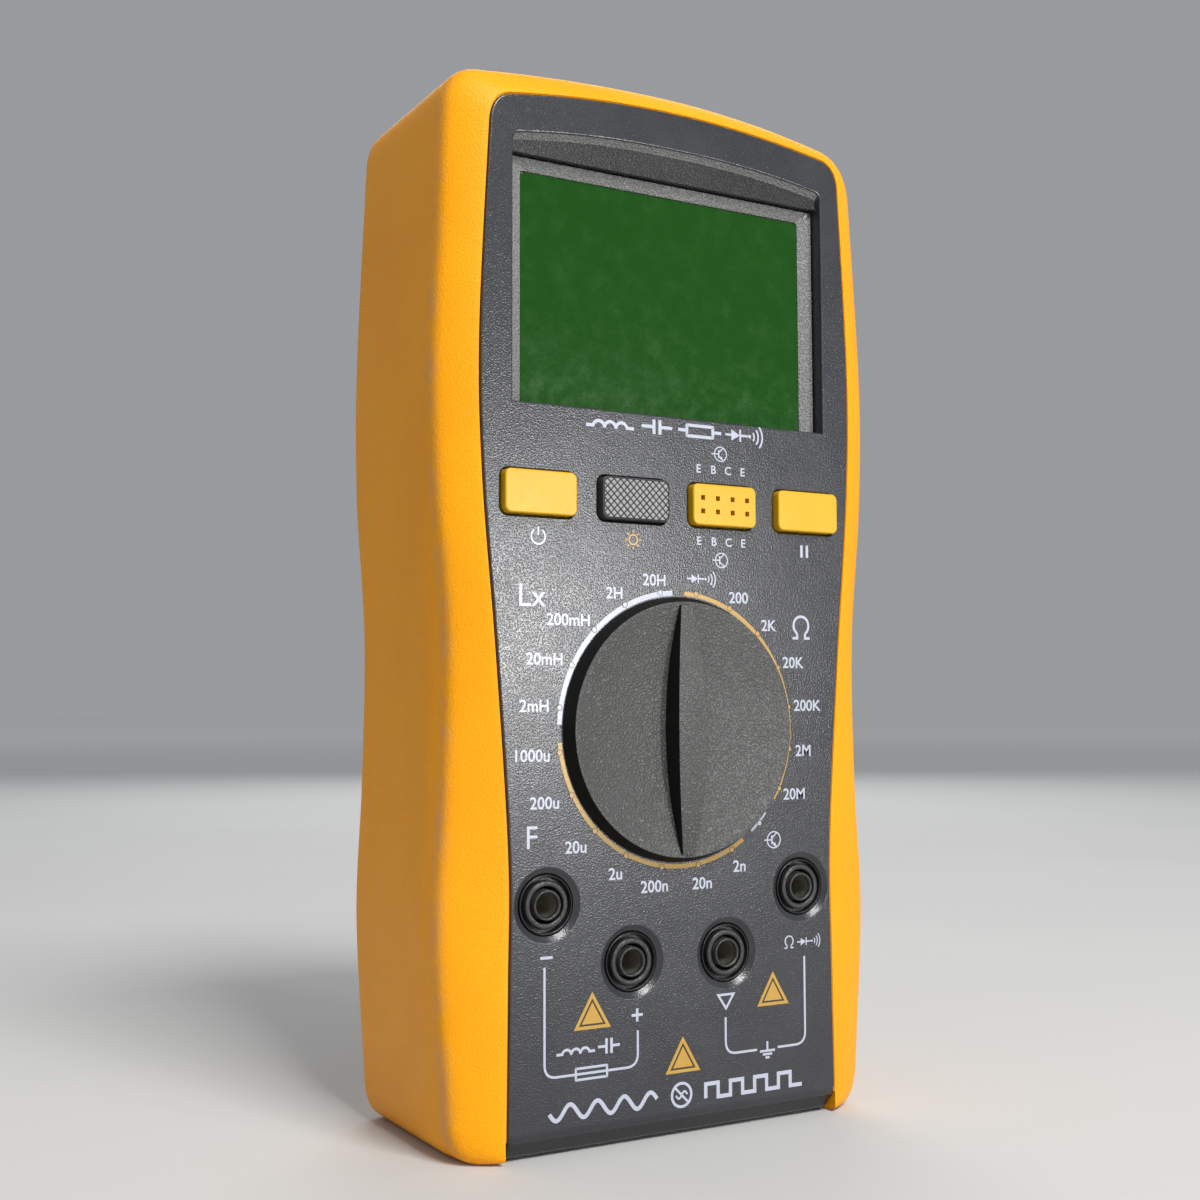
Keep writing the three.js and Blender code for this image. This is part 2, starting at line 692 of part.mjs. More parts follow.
function rangeSwitch() {
  place("selector_knob", selectorKnob(), "knob");
  place("switch_rotor", switchRotor(), "white");
  place("detent_ring", detentRing(), "black");
  for (const [side, sign] of [["left", -1], ["right", 1]]) {
    const ball = new THREE.SphereGeometry(BALL_RADIUS, 10, 8);
    ball.translate(sign * BALL_CENTRE, PANEL_Y + DETENT_DEPTH, DIAL_Z);
    place(`detent_ball_${side}`, solid(ball), "steel");
    const coil = new CoilAlongX(sign * 11, sign * 15.6, 0.95, 4);
    place(`detent_spring_${side}`, wire(coil, 0.2, 32, 5), "steel");
  }
  for (const [level, sign] of [["lower", -1], ["upper", 1]]) {
    const z0 = DIAL_Z + sign * 9;
    const arm = block(-6, 6, ROTOR_BACK + GAP, ROTOR_BACK + GAP + 0.5, z0 - 2.5, z0 + 2.5);
    const tip = (x) => block(x - 1, x + 1, ROTOR_BACK + GAP, BOARD_FRONT - GAP, z0 - 2, z0 + 2);
    place(`wiper_contact_${level}`, join(arm, tip(-4.5), tip(4.5)), "brass");
  }
}

// ---------------------------------------------------------------- keys and jacks

function keyBody(x) {
  const face = keyOutline(x, -0.5);
  const edge = keyOutline(x, 0);
  return loft([
    { points: face, depth: -KEY_PROUD },
    { points: edge, depth: -KEY_PROUD + 0.5 },
    { points: edge, depth: WALL + GAP + 0.2 },
  ]);
}

function keyFlange(x) {
  const halfWidth = KEY_WIDTH / 2 + KEY_FLANGE.side;
  const halfHeight = KEY_HEIGHT / 2 + KEY_FLANGE.end;
  const front = WALL + GAP;
  return block(x - halfWidth, x + halfWidth, front, front + 1, KEY_Z - halfHeight, KEY_Z + halfHeight);
}

function keyCap(x) {
  const stem = block(x - 2, x + 2, WALL + GAP + 0.5, KEY_STEM_END, KEY_Z - 1.5, KEY_Z + 1.5);
  return join(keyBody(x), keyFlange(x), stem);
}

function pushSwitch(x) {
  return join(
    block(x - 4, x + 4, SWITCH_TOP + 1, BOARD_FRONT - GAP, KEY_Z - 3.5, KEY_Z + 3.5),
    drum(1.6, SWITCH_TOP, SWITCH_TOP + 1.5, x, KEY_Z, 12),
  );
}

// Two rows of four square holes, for the legs of small transistors.
const PIN_PITCH_X = 3.3;
const PIN_PITCH_Z = 2.5;
const PIN_HOLE = 0.9;

function transistorSocket(x) {
  const body = block(x - 6.5, x + 6.5, WALL + GAP + 0.5, BOARD_FRONT - GAP, KEY_Z - 3.5, KEY_Z + 3.5);
  const holes = [];
  for (let column = 0; column < 4; column += 1) {
    for (const row of [-0.5, 0.5]) {
      const holeX = x + (column - 1.5) * PIN_PITCH_X;
      const holeZ = KEY_Z + row * PIN_PITCH_Z;
      const half = PIN_HOLE / 2;
      holes.push(block(holeX - half, holeX + half, -KEY_PROUD - 1, 8, holeZ - half, holeZ + half));
    }
  }
  return cut(join(keyBody(x), keyFlange(x), body), ...holes);
}

function keys() {
  place("power_button", keyCap(KEY_X.power), "key");
  place("backlight_button", keyCap(KEY_X.backlight), "knob");
  place("hold_button", keyCap(KEY_X.hold), "key");
  place("transistor_socket", transistorSocket(KEY_X.socket), "key");
  for (const name of ["power", "backlight", "hold"]) {
    place(`${name}_switch`, pushSwitch(KEY_X[name]), "black");
  }
}

const COLLAR_FRONT = 0.2;  // just below the panel's face
const SLEEVE_FRONT = -0.1;
const SLEEVE_SEAT = 9;
const SLEEVE_END = 13;

function jackHousing(x, z) {
  return turned([
    [JACK_SHROUD_RADIUS, COLLAR_FRONT],
    [JACK_COLLAR_RADIUS, COLLAR_FRONT],
    [JACK_COLLAR_RADIUS, WALL + GAP],
    [JACK_FLANGE_RADIUS, WALL + GAP],
    [JACK_FLANGE_RADIUS, WALL + GAP + 1.5],
    [4.8, WALL + GAP + 1.5],
    [4.8, BOARD_FRONT - GAP],
    [1, BOARD_FRONT - GAP],
    [1, SLEEVE_END + GAP],
    [JACK_SLEEVE_RADIUS + GAP, SLEEVE_END + GAP],
    [JACK_SLEEVE_RADIUS + GAP, SLEEVE_SEAT],
    [JACK_SHROUD_RADIUS, SLEEVE_SEAT],
    [JACK_SHROUD_RADIUS, COLLAR_FRONT],
  ], x, z);
}

function jackSleeve(x, z) {
  return turned([
    [JACK_BORE_RADIUS, SLEEVE_FRONT],
    [JACK_SLEEVE_RADIUS, SLEEVE_FRONT],
    [JACK_SLEEVE_RADIUS, SLEEVE_END],
    [0.7, SLEEVE_END],
    [0.7, BOARD_BACK + 1],
    [0, BOARD_BACK + 1],
    [0, SLEEVE_END - 1],
    [JACK_BORE_RADIUS, SLEEVE_END - 1],
    [JACK_BORE_RADIUS, SLEEVE_FRONT],
  ], x, z);
}

function jacks() {
  JACKS.forEach(([x, z], index) => {
    place(`jack_housing_${index + 1}`, jackHousing(x, z), "black");
    place(`jack_sleeve_${index + 1}`, jackSleeve(x, z), "brass");
  });
}

// ---------------------------------------------------------------- board, battery and fasteners

const FUSE_Z = 58;
const FUSE_DEPTH = BEHIND_BOARD + 3.6;
const FUSE_RADIUS = 2.6;

function circuitBoard() {
  const middle = (BOARD_TOP + BOARD_BOTTOM) / 2;
  const plate = slab(
    roundedRectangle(BOARD_HALF, (BOARD_TOP - BOARD_BOTTOM) / 2, 6, 0, middle),
    BOARD_FRONT,
    BOARD_BACK,
  );
  return cut(
    plate,
    ...CASE_SCREWS.map(([x, z]) => drum(4.6, BOARD_FRONT - 1, BOARD_BACK + 1, x, z, 12)),
    ...BOARD_SCREWS.map(([x, z]) => drum(1.6, BOARD_FRONT - 1, BOARD_BACK + 1, x, z, 10)),
    ...JACKS.map(([x, z]) => drum(1, BOARD_FRONT - 1, BOARD_BACK + 1, x, z, 8)),
  );
}

function fuseClip(x) {
  return cut(
    block(x - 2, x + 2, BEHIND_BOARD, FUSE_DEPTH + 2.2, FUSE_Z - 3.8, FUSE_Z + 3.8),
    crossbar(FUSE_RADIUS + GAP, x - 3, x + 3, FUSE_DEPTH, FUSE_Z, 16),
    block(x - 3, x + 3, FUSE_DEPTH, FUSE_DEPTH + 4, FUSE_Z - 2.6, FUSE_Z + 2.6),
  );
}

function boardParts() {
  place("circuit_board", circuitBoard(), "board");
  place("main_chip", block(-9, 9, BEHIND_BOARD, BEHIND_BOARD + 2.5, 96, 114), "black");
  place("buzzer", drum(8, BEHIND_BOARD, BEHIND_BOARD + 5, 24, 82, 20), "black");
  place("trimmer", cut(
    join(
      block(-26, -19, BEHIND_BOARD, BEHIND_BOARD + 3.5, 78, 85),
      drum(2.4, BEHIND_BOARD + 3, BEHIND_BOARD + 4.5, -22.5, 81.5, 12),
    ),
    block(-24.5, -20.5, BEHIND_BOARD + 4, BEHIND_BOARD + 5, 81.2, 81.8),
  ), "board");
  place("fuse", crossbar(FUSE_RADIUS, -10, 10, FUSE_DEPTH, FUSE_Z), "glass");
  place("fuse_clip_left", fuseClip(-8), "brass");
  place("fuse_clip_right", fuseClip(8), "brass");
}

// A 9 V battery on its side, with its terminals and snap connector at the left.
const BATTERY = { left: -22, right: 26.5, front: 18.8, back: 36.2, bottom: 17, top: 43.5 };
const TERMINAL = { radius: 3, length: 2.5, spacing: 6.5 };

function battery() {
  const halfDepth = (BATTERY.back - BATTERY.front) / 2;
  const halfHeight = (BATTERY.top - BATTERY.bottom) / 2;
  const middleDepth = BATTERY.front + halfDepth;
  const middleZ = BATTERY.bottom + halfHeight;
  const terminals = [-TERMINAL.spacing, TERMINAL.spacing].map((z) => (
    crossbar(TERMINAL.radius, BATTERY.left - TERMINAL.length, BATTERY.left + 1, middleDepth, middleZ + z)
  ));
  const section = roundedRectangle(halfDepth, halfHeight, 2);
  const shape = new THREE.Shape(section);
  const length = BATTERY.right - BATTERY.left;
  const body = new THREE.ExtrudeGeometry(shape, { depth: length, bevelEnabled: false });
  body.applyMatrix4(new THREE.Matrix4().makeBasis(
    new THREE.Vector3(0, 1, 0),
    new THREE.Vector3(0, 0, 1),
    new THREE.Vector3(1, 0, 0),
  ));
  body.translate(BATTERY.left, PANEL_Y + middleDepth, middleZ);
  return join(solid(body), ...terminals);
}

function batteryParts() {
  place("battery_9v", battery(), "label");
  const snapX = BATTERY.left - TERMINAL.length - GAP;
  const snapThickness = 3;
  const middleZ = (BATTERY.bottom + BATTERY.top) / 2;
  place("battery_snap", block(
    snapX - snapThickness, snapX,
    BATTERY.front + 2.5, BATTERY.back - 2.5,
    BATTERY.bottom + 1, BATTERY.top - 4.5,
  ), "black");
  const leadX = snapX - snapThickness - GAP;
  for (const [name, depth, end] of [["red", 24, -34.5], ["black", 29, -31.5]]) {
    const route = new THREE.CatmullRomCurve3([
      [leadX, depth, middleZ],
      [leadX - 2.5, depth, middleZ],
      [leadX - 4.5, depth, middleZ + 4],
      [leadX - 4.5, depth - 1, middleZ + 13],
      [end, depth - 1, middleZ + 22],
      [end, BEHIND_BOARD + 2, middleZ + 24],
      [end, BEHIND_BOARD, middleZ + 24],
    ].map(([x, d, z]) => new THREE.Vector3(x, PANEL_Y + d, z)));
    place(`battery_lead_${name}`, wire(route, 0.7, 20, 8), name);
  }
  place("battery_door", batteryDoor(), "panel");
  const doorScrew = { ...DOOR_SCREW, headBack: CASE_BACK + 0.2 };
  place("battery_door_screw", screw(doorScrew, DOOR.screwX, DOOR.screwZ, 12), "steel");
}

function screw({ tip, seat, headBack, headRadius, shankRadius }, x, z, segments = 10) {
  return turned([
    [0, tip],
    [shankRadius, tip],
    [shankRadius, seat],
    [headRadius, seat],
    [headRadius, headBack],
    [0, headBack],
  ], x, z, segments);
}

function fasteners() {
  const caseSeat = SCREW_HEAD_SEAT + GAP;
  const caseScrew = {
    tip: 10.5,
    seat: caseSeat,
    headBack: caseSeat + 2.2,
    headRadius: 2.7,
    shankRadius: 1.2,
  };
  CASE_SCREWS.forEach(([x, z], index) => {
    place(`case_screw_${index + 1}`, screw(caseScrew, x, z), "steel");
  });
  const boardScrew = {
    tip: 8,
    seat: BEHIND_BOARD,
    headBack: BEHIND_BOARD + 1.6,
    headRadius: 2.6,
    shankRadius: 1.2,
  };
  BOARD_SCREWS.forEach(([x, z], index) => {
    place(`board_screw_${index + 1}`, screw(boardScrew, x, z), "steel");
  });
}

place("holster", holster(), "boot");
place("front_cover", frontCover(), "panel");
place("back_cover", backCover(), "panel");
place("tilt_stand", tiltStand(), "panel");
displayParts();
rangeSwitch();
keys();
jacks();
boardParts();
batteryParts();
fasteners();

export default meter;
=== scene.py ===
"""The looks of the LCR meter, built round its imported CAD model.

Lengths in this script are millimetres, with x to the right, depth counted back from the face of the front
panel and z up. at() turns them into the frame's metres.
"""

import math

import bmesh
import bpy
from mathutils import Matrix, Vector


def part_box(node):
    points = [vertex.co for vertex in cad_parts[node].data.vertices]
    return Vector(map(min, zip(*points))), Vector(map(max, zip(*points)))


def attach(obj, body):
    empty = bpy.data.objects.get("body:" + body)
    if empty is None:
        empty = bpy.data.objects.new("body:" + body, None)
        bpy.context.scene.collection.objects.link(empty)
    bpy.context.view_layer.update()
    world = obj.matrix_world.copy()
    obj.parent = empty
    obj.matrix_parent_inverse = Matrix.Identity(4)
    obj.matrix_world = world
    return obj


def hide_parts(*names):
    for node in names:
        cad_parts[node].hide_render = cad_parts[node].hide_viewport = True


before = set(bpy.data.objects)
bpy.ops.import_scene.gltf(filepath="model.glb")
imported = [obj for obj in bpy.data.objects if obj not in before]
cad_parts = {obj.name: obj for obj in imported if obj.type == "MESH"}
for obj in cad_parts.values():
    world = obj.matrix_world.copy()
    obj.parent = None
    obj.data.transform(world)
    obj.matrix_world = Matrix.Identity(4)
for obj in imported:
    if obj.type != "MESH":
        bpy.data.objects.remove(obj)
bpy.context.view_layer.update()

MM = 0.001


# ---------------------------------------------------------------- places, from the frame

def node_box(name):
    low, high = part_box(name)
    return low / MM, high / MM


def node_centre(name):
    low, high = node_box(name)
    return (low + high) / 2


PANEL_Y = node_box("front_cover")[0].y
DIAL_Z = node_centre("selector_knob").z
KEY_Z = node_centre("power_button").z
KEY_X = {name: node_centre(name).x
         for name in ("power_button", "backlight_button", "transistor_socket", "hold_button")}
JACKS = [(node_centre(f"jack_housing_{number}").x, node_centre(f"jack_housing_{number}").z)
         for number in range(1, 5)]


def node_depths(name):
    """The depths at which a CAD node starts and ends."""
    low, high = node_box(name)
    return low.y - PANEL_Y, high.y - PANEL_Y


BOOT_BACK = node_depths("holster")[1]
CASE_BACK = node_depths("back_cover")[1]
SPLIT = node_depths("front_cover")[1]
PLATEAU = 6.0                # the raised panel stands this far out of the case
GAP = 0.3


def at(x, depth, z):
    return Vector((x, PANEL_Y + depth, z)) * MM


# ---------------------------------------------------------------- camera

CAMERA_LENS = 46.17          # on a sensor 36 mm wide
CAMERA_X, CAMERA_DEPTH, CAMERA_Z = -152.2, -236.7, 76.6
CAMERA_FORWARD = (0.4961, 0.8654, 0.0708)
CAMERA_UP = (-0.0326, -0.0629, 0.9975)


def make_camera():
    data = bpy.data.cameras.new("camera")
    data.sensor_width = 36
    data.lens = CAMERA_LENS
    data.clip_start = 0.01
    camera = bpy.data.objects.new("camera", data)
    camera.location = at(CAMERA_X, CAMERA_DEPTH, CAMERA_Z)
    forward = Vector(CAMERA_FORWARD).normalized()
    up = Vector(CAMERA_UP)
    right = forward.cross(up).normalized()
    up = right.cross(forward)
    camera.rotation_euler = Matrix((right, up, -forward)).transposed().to_euler()
    bpy.context.scene.collection.objects.link(camera)
    bpy.context.scene.camera = camera


make_camera()


# ---------------------------------------------------------------- outlines in the x-z plane

def curve_points(points, count):
    """count + 1 points along a smooth curve through the given ones."""
    spans = len(points) - 1
    result = []
    for step in range(count + 1):
        place = step * spans / count
        index = min(int(place), spans - 1)
        t = place - index
        p0, p1 = points[max(index - 1, 0)], points[index]
        p2, p3 = points[index + 1], points[min(index + 2, spans)]
        result.append(tuple(spline(a, b, c, d, t) for a, b, c, d in zip(p0, p1, p2, p3)))
    return result


def spline(a, b, c, d, t):
    """The value between b and c, at share t, of a smooth curve through a, b, c and d."""
    square = 2 * a - 5 * b + 4 * c - d
    cube = 3 * b - a - 3 * c + d
    return 0.5 * (2 * b + (c - a) * t + square * t * t + cube * t ** 3)


def bend_points(start, pull, end, count):
    """count points of a quadratic bend after its start."""
    result = []
    for step in range(1, count + 1):
        t = step / count
        result.append(tuple((1 - t) ** 2 * a + 2 * t * (1 - t) * b + t * t * c
                            for a, b, c in zip(start, pull, end)))
    return result


def body_outline(base, foot_half, side, shoulder, crown_start, crown):
    """The closed outline of the meter's body, anticlockwise seen from the front."""
    right = [(foot_half, base)]
    right += bend_points((foot_half, base), (side[0][0], base), side[0], 8)
    right += curve_points(side, 72)[1:]
    right += bend_points(side[-1], shoulder, crown_start, 14)
    right += bend_points(crown_start, (crown_start[0] / 2, crown), (0, crown), 16)
    return right + [(-x, z) for x, z in reversed(right[:-1])]


def panel_outline(base, heel=1.2):
    half = 34.6
    side = [(half, base + heel), (34.3, 30), (34.3, 52), (36.7, 86), (39.4, 117), (40, 142), (38.2, 179.5)]
    return body_outline(base, half - heel, side, (37.8, 184.6), (33.5, 185), 187.7)


PANEL_BASE = 0.5
PANEL = panel_outline(PANEL_BASE)
BOOT_HEIGHT = 192.5
BOOT_SIDE = [(44, 10), (45.9, 38), (44.7, 63), (44.3, 90), (46.6, 117), (47, 142), (44.7, 179)]
BOOT = body_outline(0, 38, BOOT_SIDE, (43.9, 187.8), (36.5, 189), BOOT_HEIGHT)
BODY_SIDE = [(44.4, 9), (46.2, 38), (45.3, 63), (45, 90), (46.8, 117), (47, 142), (45.4, 181)]
BOOT_BODY = body_outline(0, 38.6, BODY_SIDE, (45.2, 190), (38.6, 190.2), BOOT_HEIGHT)


def inset(points, amount):
    """Every side of a closed anticlockwise outline moved inwards by the same amount.

    Where a bend is tighter than the amount, the points that would cross over are drawn together.
    """
    moved = []
    count = len(points)
    for index in range(count):
        here = Vector(points[index])
        sides = []
        for start, end in ((Vector(points[index - 1]), here), (here, Vector(points[(index + 1) % count]))):
            along = (end - start).normalized()
            sides.append(Vector((-along.y, along.x)))
        both = sides[0] + sides[1]
        moved.append(here + both * (2 * amount / both.length_squared))
    if amount < 0.6:
        return [tuple(point) for point in moved]
    reach = min(24, count // 2)
    kept = [clearance(moved[index], points, index, reach) > amount * 0.985 for index in range(count)]
    result = []
    for index in range(count):
        behind = next(step for step in range(count) if kept[index - step])
        ahead = next(step for step in range(count) if kept[(index + step) % count])
        nearest = index - behind if behind <= ahead else (index + ahead) % count
        result.append(tuple(moved[nearest]))
    return result


def clearance(point, outline, index, reach):
    """The distance from a point to the stretch of an outline around an index."""
    nearest = math.inf
    count = len(outline)
    for step in range(-reach, reach):
        start = Vector(outline[(index + step) % count])
        along = Vector(outline[(index + step + 1) % count]) - start
        if along.length_squared:
            share = min(1.0, max(0.0, (point - start).dot(along) / along.length_squared))
            nearest = min(nearest, (start + along * share - point).length)
    return nearest


def mix(first, second, share):
    return [(a + (c - a) * share, b + (d - b) * share) for (a, b), (c, d) in zip(first, second)]


CASE = inset(BOOT, 3.5)
CASE_WALL = 2.2
CASE_EDGE = 2.2              # the chamfer round the back of the case


def rounded_rectangle(half_width, half_height, radius, x=0.0, z=0.0, steps=8):
    points = []
    for side_x, side_z, start in ((1, -1, -90), (1, 1, 0), (-1, 1, 90), (-1, -1, 180)):
        for step in range(steps + 1):
            angle = math.radians(start + 90 * step / steps)
            points.append((x + side_x * (half_width - radius) + radius * math.cos(angle),
                           z + side_z * (half_height - radius) + radius * math.sin(angle)))
    return points


def node_rectangle(name, radius, grow=0.0):
    """The outline of a CAD node's box, seen from the front."""
    low, high = node_box(name)
    return rounded_rectangle((high.x - low.x) / 2 + grow, (high.z - low.z) / 2 + grow, radius, 0,
                             (low.z + high.z) / 2)


def circle(radius, x=0.0, z=0.0, steps=64):
    angles = [2 * math.pi * step / steps for step in range(steps)]
    return [(x + radius * math.cos(angle), z + radius * math.sin(angle)) for angle in angles]


def fillet(corners, steps=6):
    """A closed outline through corners of (x, z, radius), each rounded."""
    points = []
    count = len(corners)
    for index in range(count):
        here = Vector(corners[index][:2])
        before = (Vector(corners[index - 1][:2]) - here).normalized()
        after = (Vector(corners[(index + 1) % count][:2]) - here).normalized()
        reach = corners[index][2] / math.tan(before.angle(after) / 2)
        start, end = here + before * reach, here + after * reach
        points.append(tuple(start))
        points += bend_points(tuple(start), tuple(here), tuple(end), steps)
    return points


# ---------------------------------------------------------------- meshes

def link(name, mesh):
    piece = bpy.data.objects.new(name, mesh)
    bpy.context.scene.collection.objects.link(piece)
    return piece


def from_faces(name, points, faces):
    mesh = bpy.data.meshes.new(name)
    mesh.from_pydata([tuple(point) for point in points], [], faces)
    build = bmesh.new()
    build.from_mesh(mesh)
    bmesh.ops.remove_doubles(build, verts=build.verts, dist=1e-7)
    bmesh.ops.recalc_face_normals(build, faces=build.faces)
    build.to_mesh(mesh)
    build.free()
    return link(name, mesh)


def skin(name, points, count):
    """A solid whose points come in rings of count, one after the other, closed at both ends."""
    faces = []
    for start in range(0, len(points) - count, count):
        for index in range(count):
            here, beside = start + index, start + (index + 1) % count
            faces.append((here, here + count, beside + count, beside))
    faces.append(tuple(range(count)))
    faces.append(tuple(reversed(range(len(points) - count, len(points)))))
    return from_faces(name, points, faces)


def loft(name, rings):
    """A solid through a row of outlines, front to back, each (points, depth) with the same count."""
    points = [at(x, depth, z) for outline, depth in rings for x, z in outline]
    return skin(name, points, len(rings[0][0]))


def round_rings(outline, front, back, front_round=0.0, back_round=0.0, steps=4):
    """Rings of a slab whose front and back edges are rounded."""
    def rounded(depth, radius, sign):
        if not radius:
            return [(outline, depth)]
        angles = [math.radians(90 * step / steps) for step in range(steps + 1)]
        return [(inset(outline, radius * (1 - math.sin(angle))),
                 depth + sign * radius * (1 - math.cos(angle))) for angle in angles]

    return rounded(front, front_round, 1) + rounded(back, back_round, -1)[::-1]


def slab(name, outline, front, back, front_round=0.0, back_round=0.0):
    return loft(name, round_rings(outline, front, back, front_round, back_round))


def mouth(name, outline, front, back, flare):
    """A cutter that leaves a rounded edge where it enters a face at depth front, seen from the front."""
    rings = [(inset(outline, -flare), front - 1)]
    for step in range(5):
        angle = math.radians(90 * step / 4)
        depth = front + flare * (1 - math.cos(angle))
        rings.append((inset(outline, -flare * (1 - math.sin(angle))), depth))
    rings.append((outline, back))
    return loft(name, rings)


def turned(name, profile, x, z, segments=96):
    """A solid turned about an axis along the depth; the profile of (radius, depth) may be closed."""
    closed = profile[0] == profile[-1]
    rows = profile[:-1] if closed else profile
    points = [at(px, depth, pz) for radius, depth in rows for px, pz in circle(radius, x, z, segments)]
    faces = []
    for row in range(len(rows) if closed else len(rows) - 1):
        for segment in range(segments):
            beside = (segment + 1) % segments
            below = (row + 1) % len(rows)
            faces.append((row * segments + segment, below * segments + segment,
                          below * segments + beside, row * segments + beside))
    return from_faces(name, points, faces)


def crossbar(name, radius, x0, x1, depth, z, segments=32):
    """A round bar along x."""
    section = circle(radius, depth, z, segments)
    return skin(name, [at(x, y, height) for x in (x0, x1) for y, height in section], segments)


def bake_modifiers(piece):
    bpy.context.view_layer.update()
    graph = bpy.context.evaluated_depsgraph_get()
    mesh = bpy.data.meshes.new_from_object(piece.evaluated_get(graph))
    piece.modifiers.clear()
    old = piece.data
    piece.data = mesh
    bpy.data.meshes.remove(old)


def carve(piece, *tools, operation="DIFFERENCE"):
    for tool in tools:
        step = piece.modifiers.new("carve", "BOOLEAN")
        step.operation = operation
        step.solver = "EXACT"
        step.object = tool
    bake_modifiers(piece)
    for tool in tools:
        bpy.data.objects.remove(tool)
    return piece


def merge(piece, *others):
    return carve(piece, *others, operation="UNION")


def dress(piece, body, material, slot, *stands_for, sharp=32):
    """Shades a piece, gives it its material and ties it to the frame."""
    piece.data.shade_smooth()
    piece.data.set_sharp_from_angle(angle=math.radians(sharp))
    even = piece.modifiers.new("even_normals", "WEIGHTED_NORMAL")
    even.keep_sharp = True
    even.weight = 80
    if material is not None:
        piece.data.materials.clear()
        piece.data.materials.append(material)
    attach(piece, body)
    if stands_for:
        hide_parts(*stands_for)
    return piece


# ---------------------------------------------------------------- materials

def linear(red, green, blue):
    """A colour given as 0-255 screen values."""
    return tuple((value / 255 / 12.92) if value / 255 <= 0.04045 else ((value / 255 + 0.055) / 1.055) ** 2.4
                 for value in (red, green, blue)) + (1.0,)


def paler(colour, amount):
    return linear(*[min(255, value + amount) for value in colour])


class Finish:
    """A material under construction: helpers that add nodes in the piece's own coordinates."""

    def __init__(self, name, colour, roughness, metallic=0.0, specular=0.5):
        self.material = bpy.data.materials.new(name)
        self.material.use_nodes = True
        self.nodes = self.material.node_tree.nodes
        self.links = self.material.node_tree.links
        self.shader = self.nodes["Principled BSDF"]
        settings = {"Base Color": colour, "Roughness": roughness, "Metallic": metallic,
                    "Specular IOR Level": specular}
        for socket, value in settings.items():
            self.shader.inputs[socket].default_value = value
        self.colour = None
        self.base = colour
        self.height = None
        self.place = self.nodes.new("ShaderNodeTexCoord").outputs["Object"]

    def noise(self, size, detail=2.0, rough=0.5, stretch=(1, 1, 1)):
        """Noise whose lumps are about size millimetres across."""
        mapping = self.nodes.new("ShaderNodeMapping")
        mapping.inputs["Scale"].default_value = [factor / (size * MM) for factor in stretch]
        self.links.new(self.place, mapping.inputs["Vector"])
        texture = self.nodes.new("ShaderNodeTexNoise")
        texture.inputs["Scale"].default_value = 1.0
        texture.inputs["Detail"].default_value = detail
        texture.inputs["Roughness"].default_value = rough
        self.links.new(mapping.outputs["Vector"], texture.inputs["Vector"])
        return texture.outputs["Fac"]

    def steps(self, value, low, high):
        """value from low to high becomes 0 to 1, smoothly."""
        node = self.nodes.new("ShaderNodeMapRange")
        node.interpolation_type = "SMOOTHSTEP"
        node.inputs["From Min"].default_value = low
        node.inputs["From Max"].default_value = high
        self.links.new(value, node.inputs["Value"])
        return node.outputs["Result"]

    def math(self, operation, first, second=None):
        node = self.nodes.new("ShaderNodeMath")
        node.operation = operation
        for socket, value in zip(node.inputs, (first, second)):
            if value is None:
                continue
            if isinstance(value, (int, float)):
                socket.default_value = value
            else:
                self.links.new(value, socket)
        return node.outputs["Value"]

    def coordinate(self, axis):
        node = self.nodes.new("ShaderNodeSeparateXYZ")
        self.links.new(self.place, node.inputs["Vector"])
        return self.math("MULTIPLY", node.outputs[axis], 1 / MM)

    def tint(self, mask, colour, amount=1.0):
        """Mixes a colour into the base colour where mask is 1."""
        node = self.nodes.new("ShaderNodeMix")
        node.data_type = "RGBA"
        factor = self.math("MULTIPLY", mask, amount)
        self.links.new(factor, node.inputs["Factor"])
        first, second = node.inputs[6], node.inputs[7]
        if self.colour is None:
            first.default_value = self.base
        else:
            self.links.new(self.colour, first)
        second.default_value = colour
        self.colour = node.outputs[2]
        self.links.new(self.colour, self.shader.inputs["Base Color"])
        return self

    def roughen(self, mask, low, high):
        node = self.nodes.new("ShaderNodeMapRange")
        node.inputs["To Min"].default_value = low
        node.inputs["To Max"].default_value = high
        self.links.new(mask, node.inputs["Value"])
        self.links.new(node.outputs["Result"], self.shader.inputs["Roughness"])
        return self

    def bump(self, height, depth, strength=1.0):
        """Adds relief of the given depth in millimetres."""
        node = self.nodes.new("ShaderNodeBump")
        node.inputs["Distance"].default_value = depth * MM
        node.inputs["Strength"].default_value = strength
        self.links.new(height, node.inputs["Height"])
        if self.height is not None:
            self.links.new(self.height, node.inputs["Normal"])
        self.height = node.outputs["Normal"]
        self.links.new(self.height, self.shader.inputs["Normal"])
        return self


def boot_rubber():
    """Orange-yellow rubber: fine grain, faint cloudiness, a paler front ridge line of wear and painted
    highlight.
    """
    made = Finish("boot_rubber", linear(246, 164, 9), 0.4, specular=0.22)
    cloud = made.steps(made.noise(24, 3), 0.35, 0.7)
    made.tint(cloud, linear(236, 150, 8), 0.4)
    # Paler line along the front ridge: partly a painted highlight, partly wear from rubbing.
    depth = made.math("SUBTRACT", made.coordinate("Y"), PANEL_Y + 5.8)
    closeness = made.math("SUBTRACT", 1.0, made.math("DIVIDE", made.math("ABSOLUTE", depth), 2.6))
    patchy = made.steps(made.noise(7, 5, 0.7), 0.36, 0.68)
    ridge_highlight_and_rub = made.math("MULTIPLY", made.steps(closeness, 0.0, 0.9), patchy)
    made.tint(ridge_highlight_and_rub, linear(212, 154, 96), 0.7)
    speck = made.steps(made.noise(0.5, 2), 0.66, 0.78)
    made.tint(speck, linear(186, 112, 10), 0.3)
    made.roughen(made.noise(1.6, 3), 0.34, 0.5)
    made.bump(made.noise(0.4, 2, 0.5), 0.12, 1.0)
    made.bump(made.noise(6, 2), 0.12, 0.3)
    return made.material


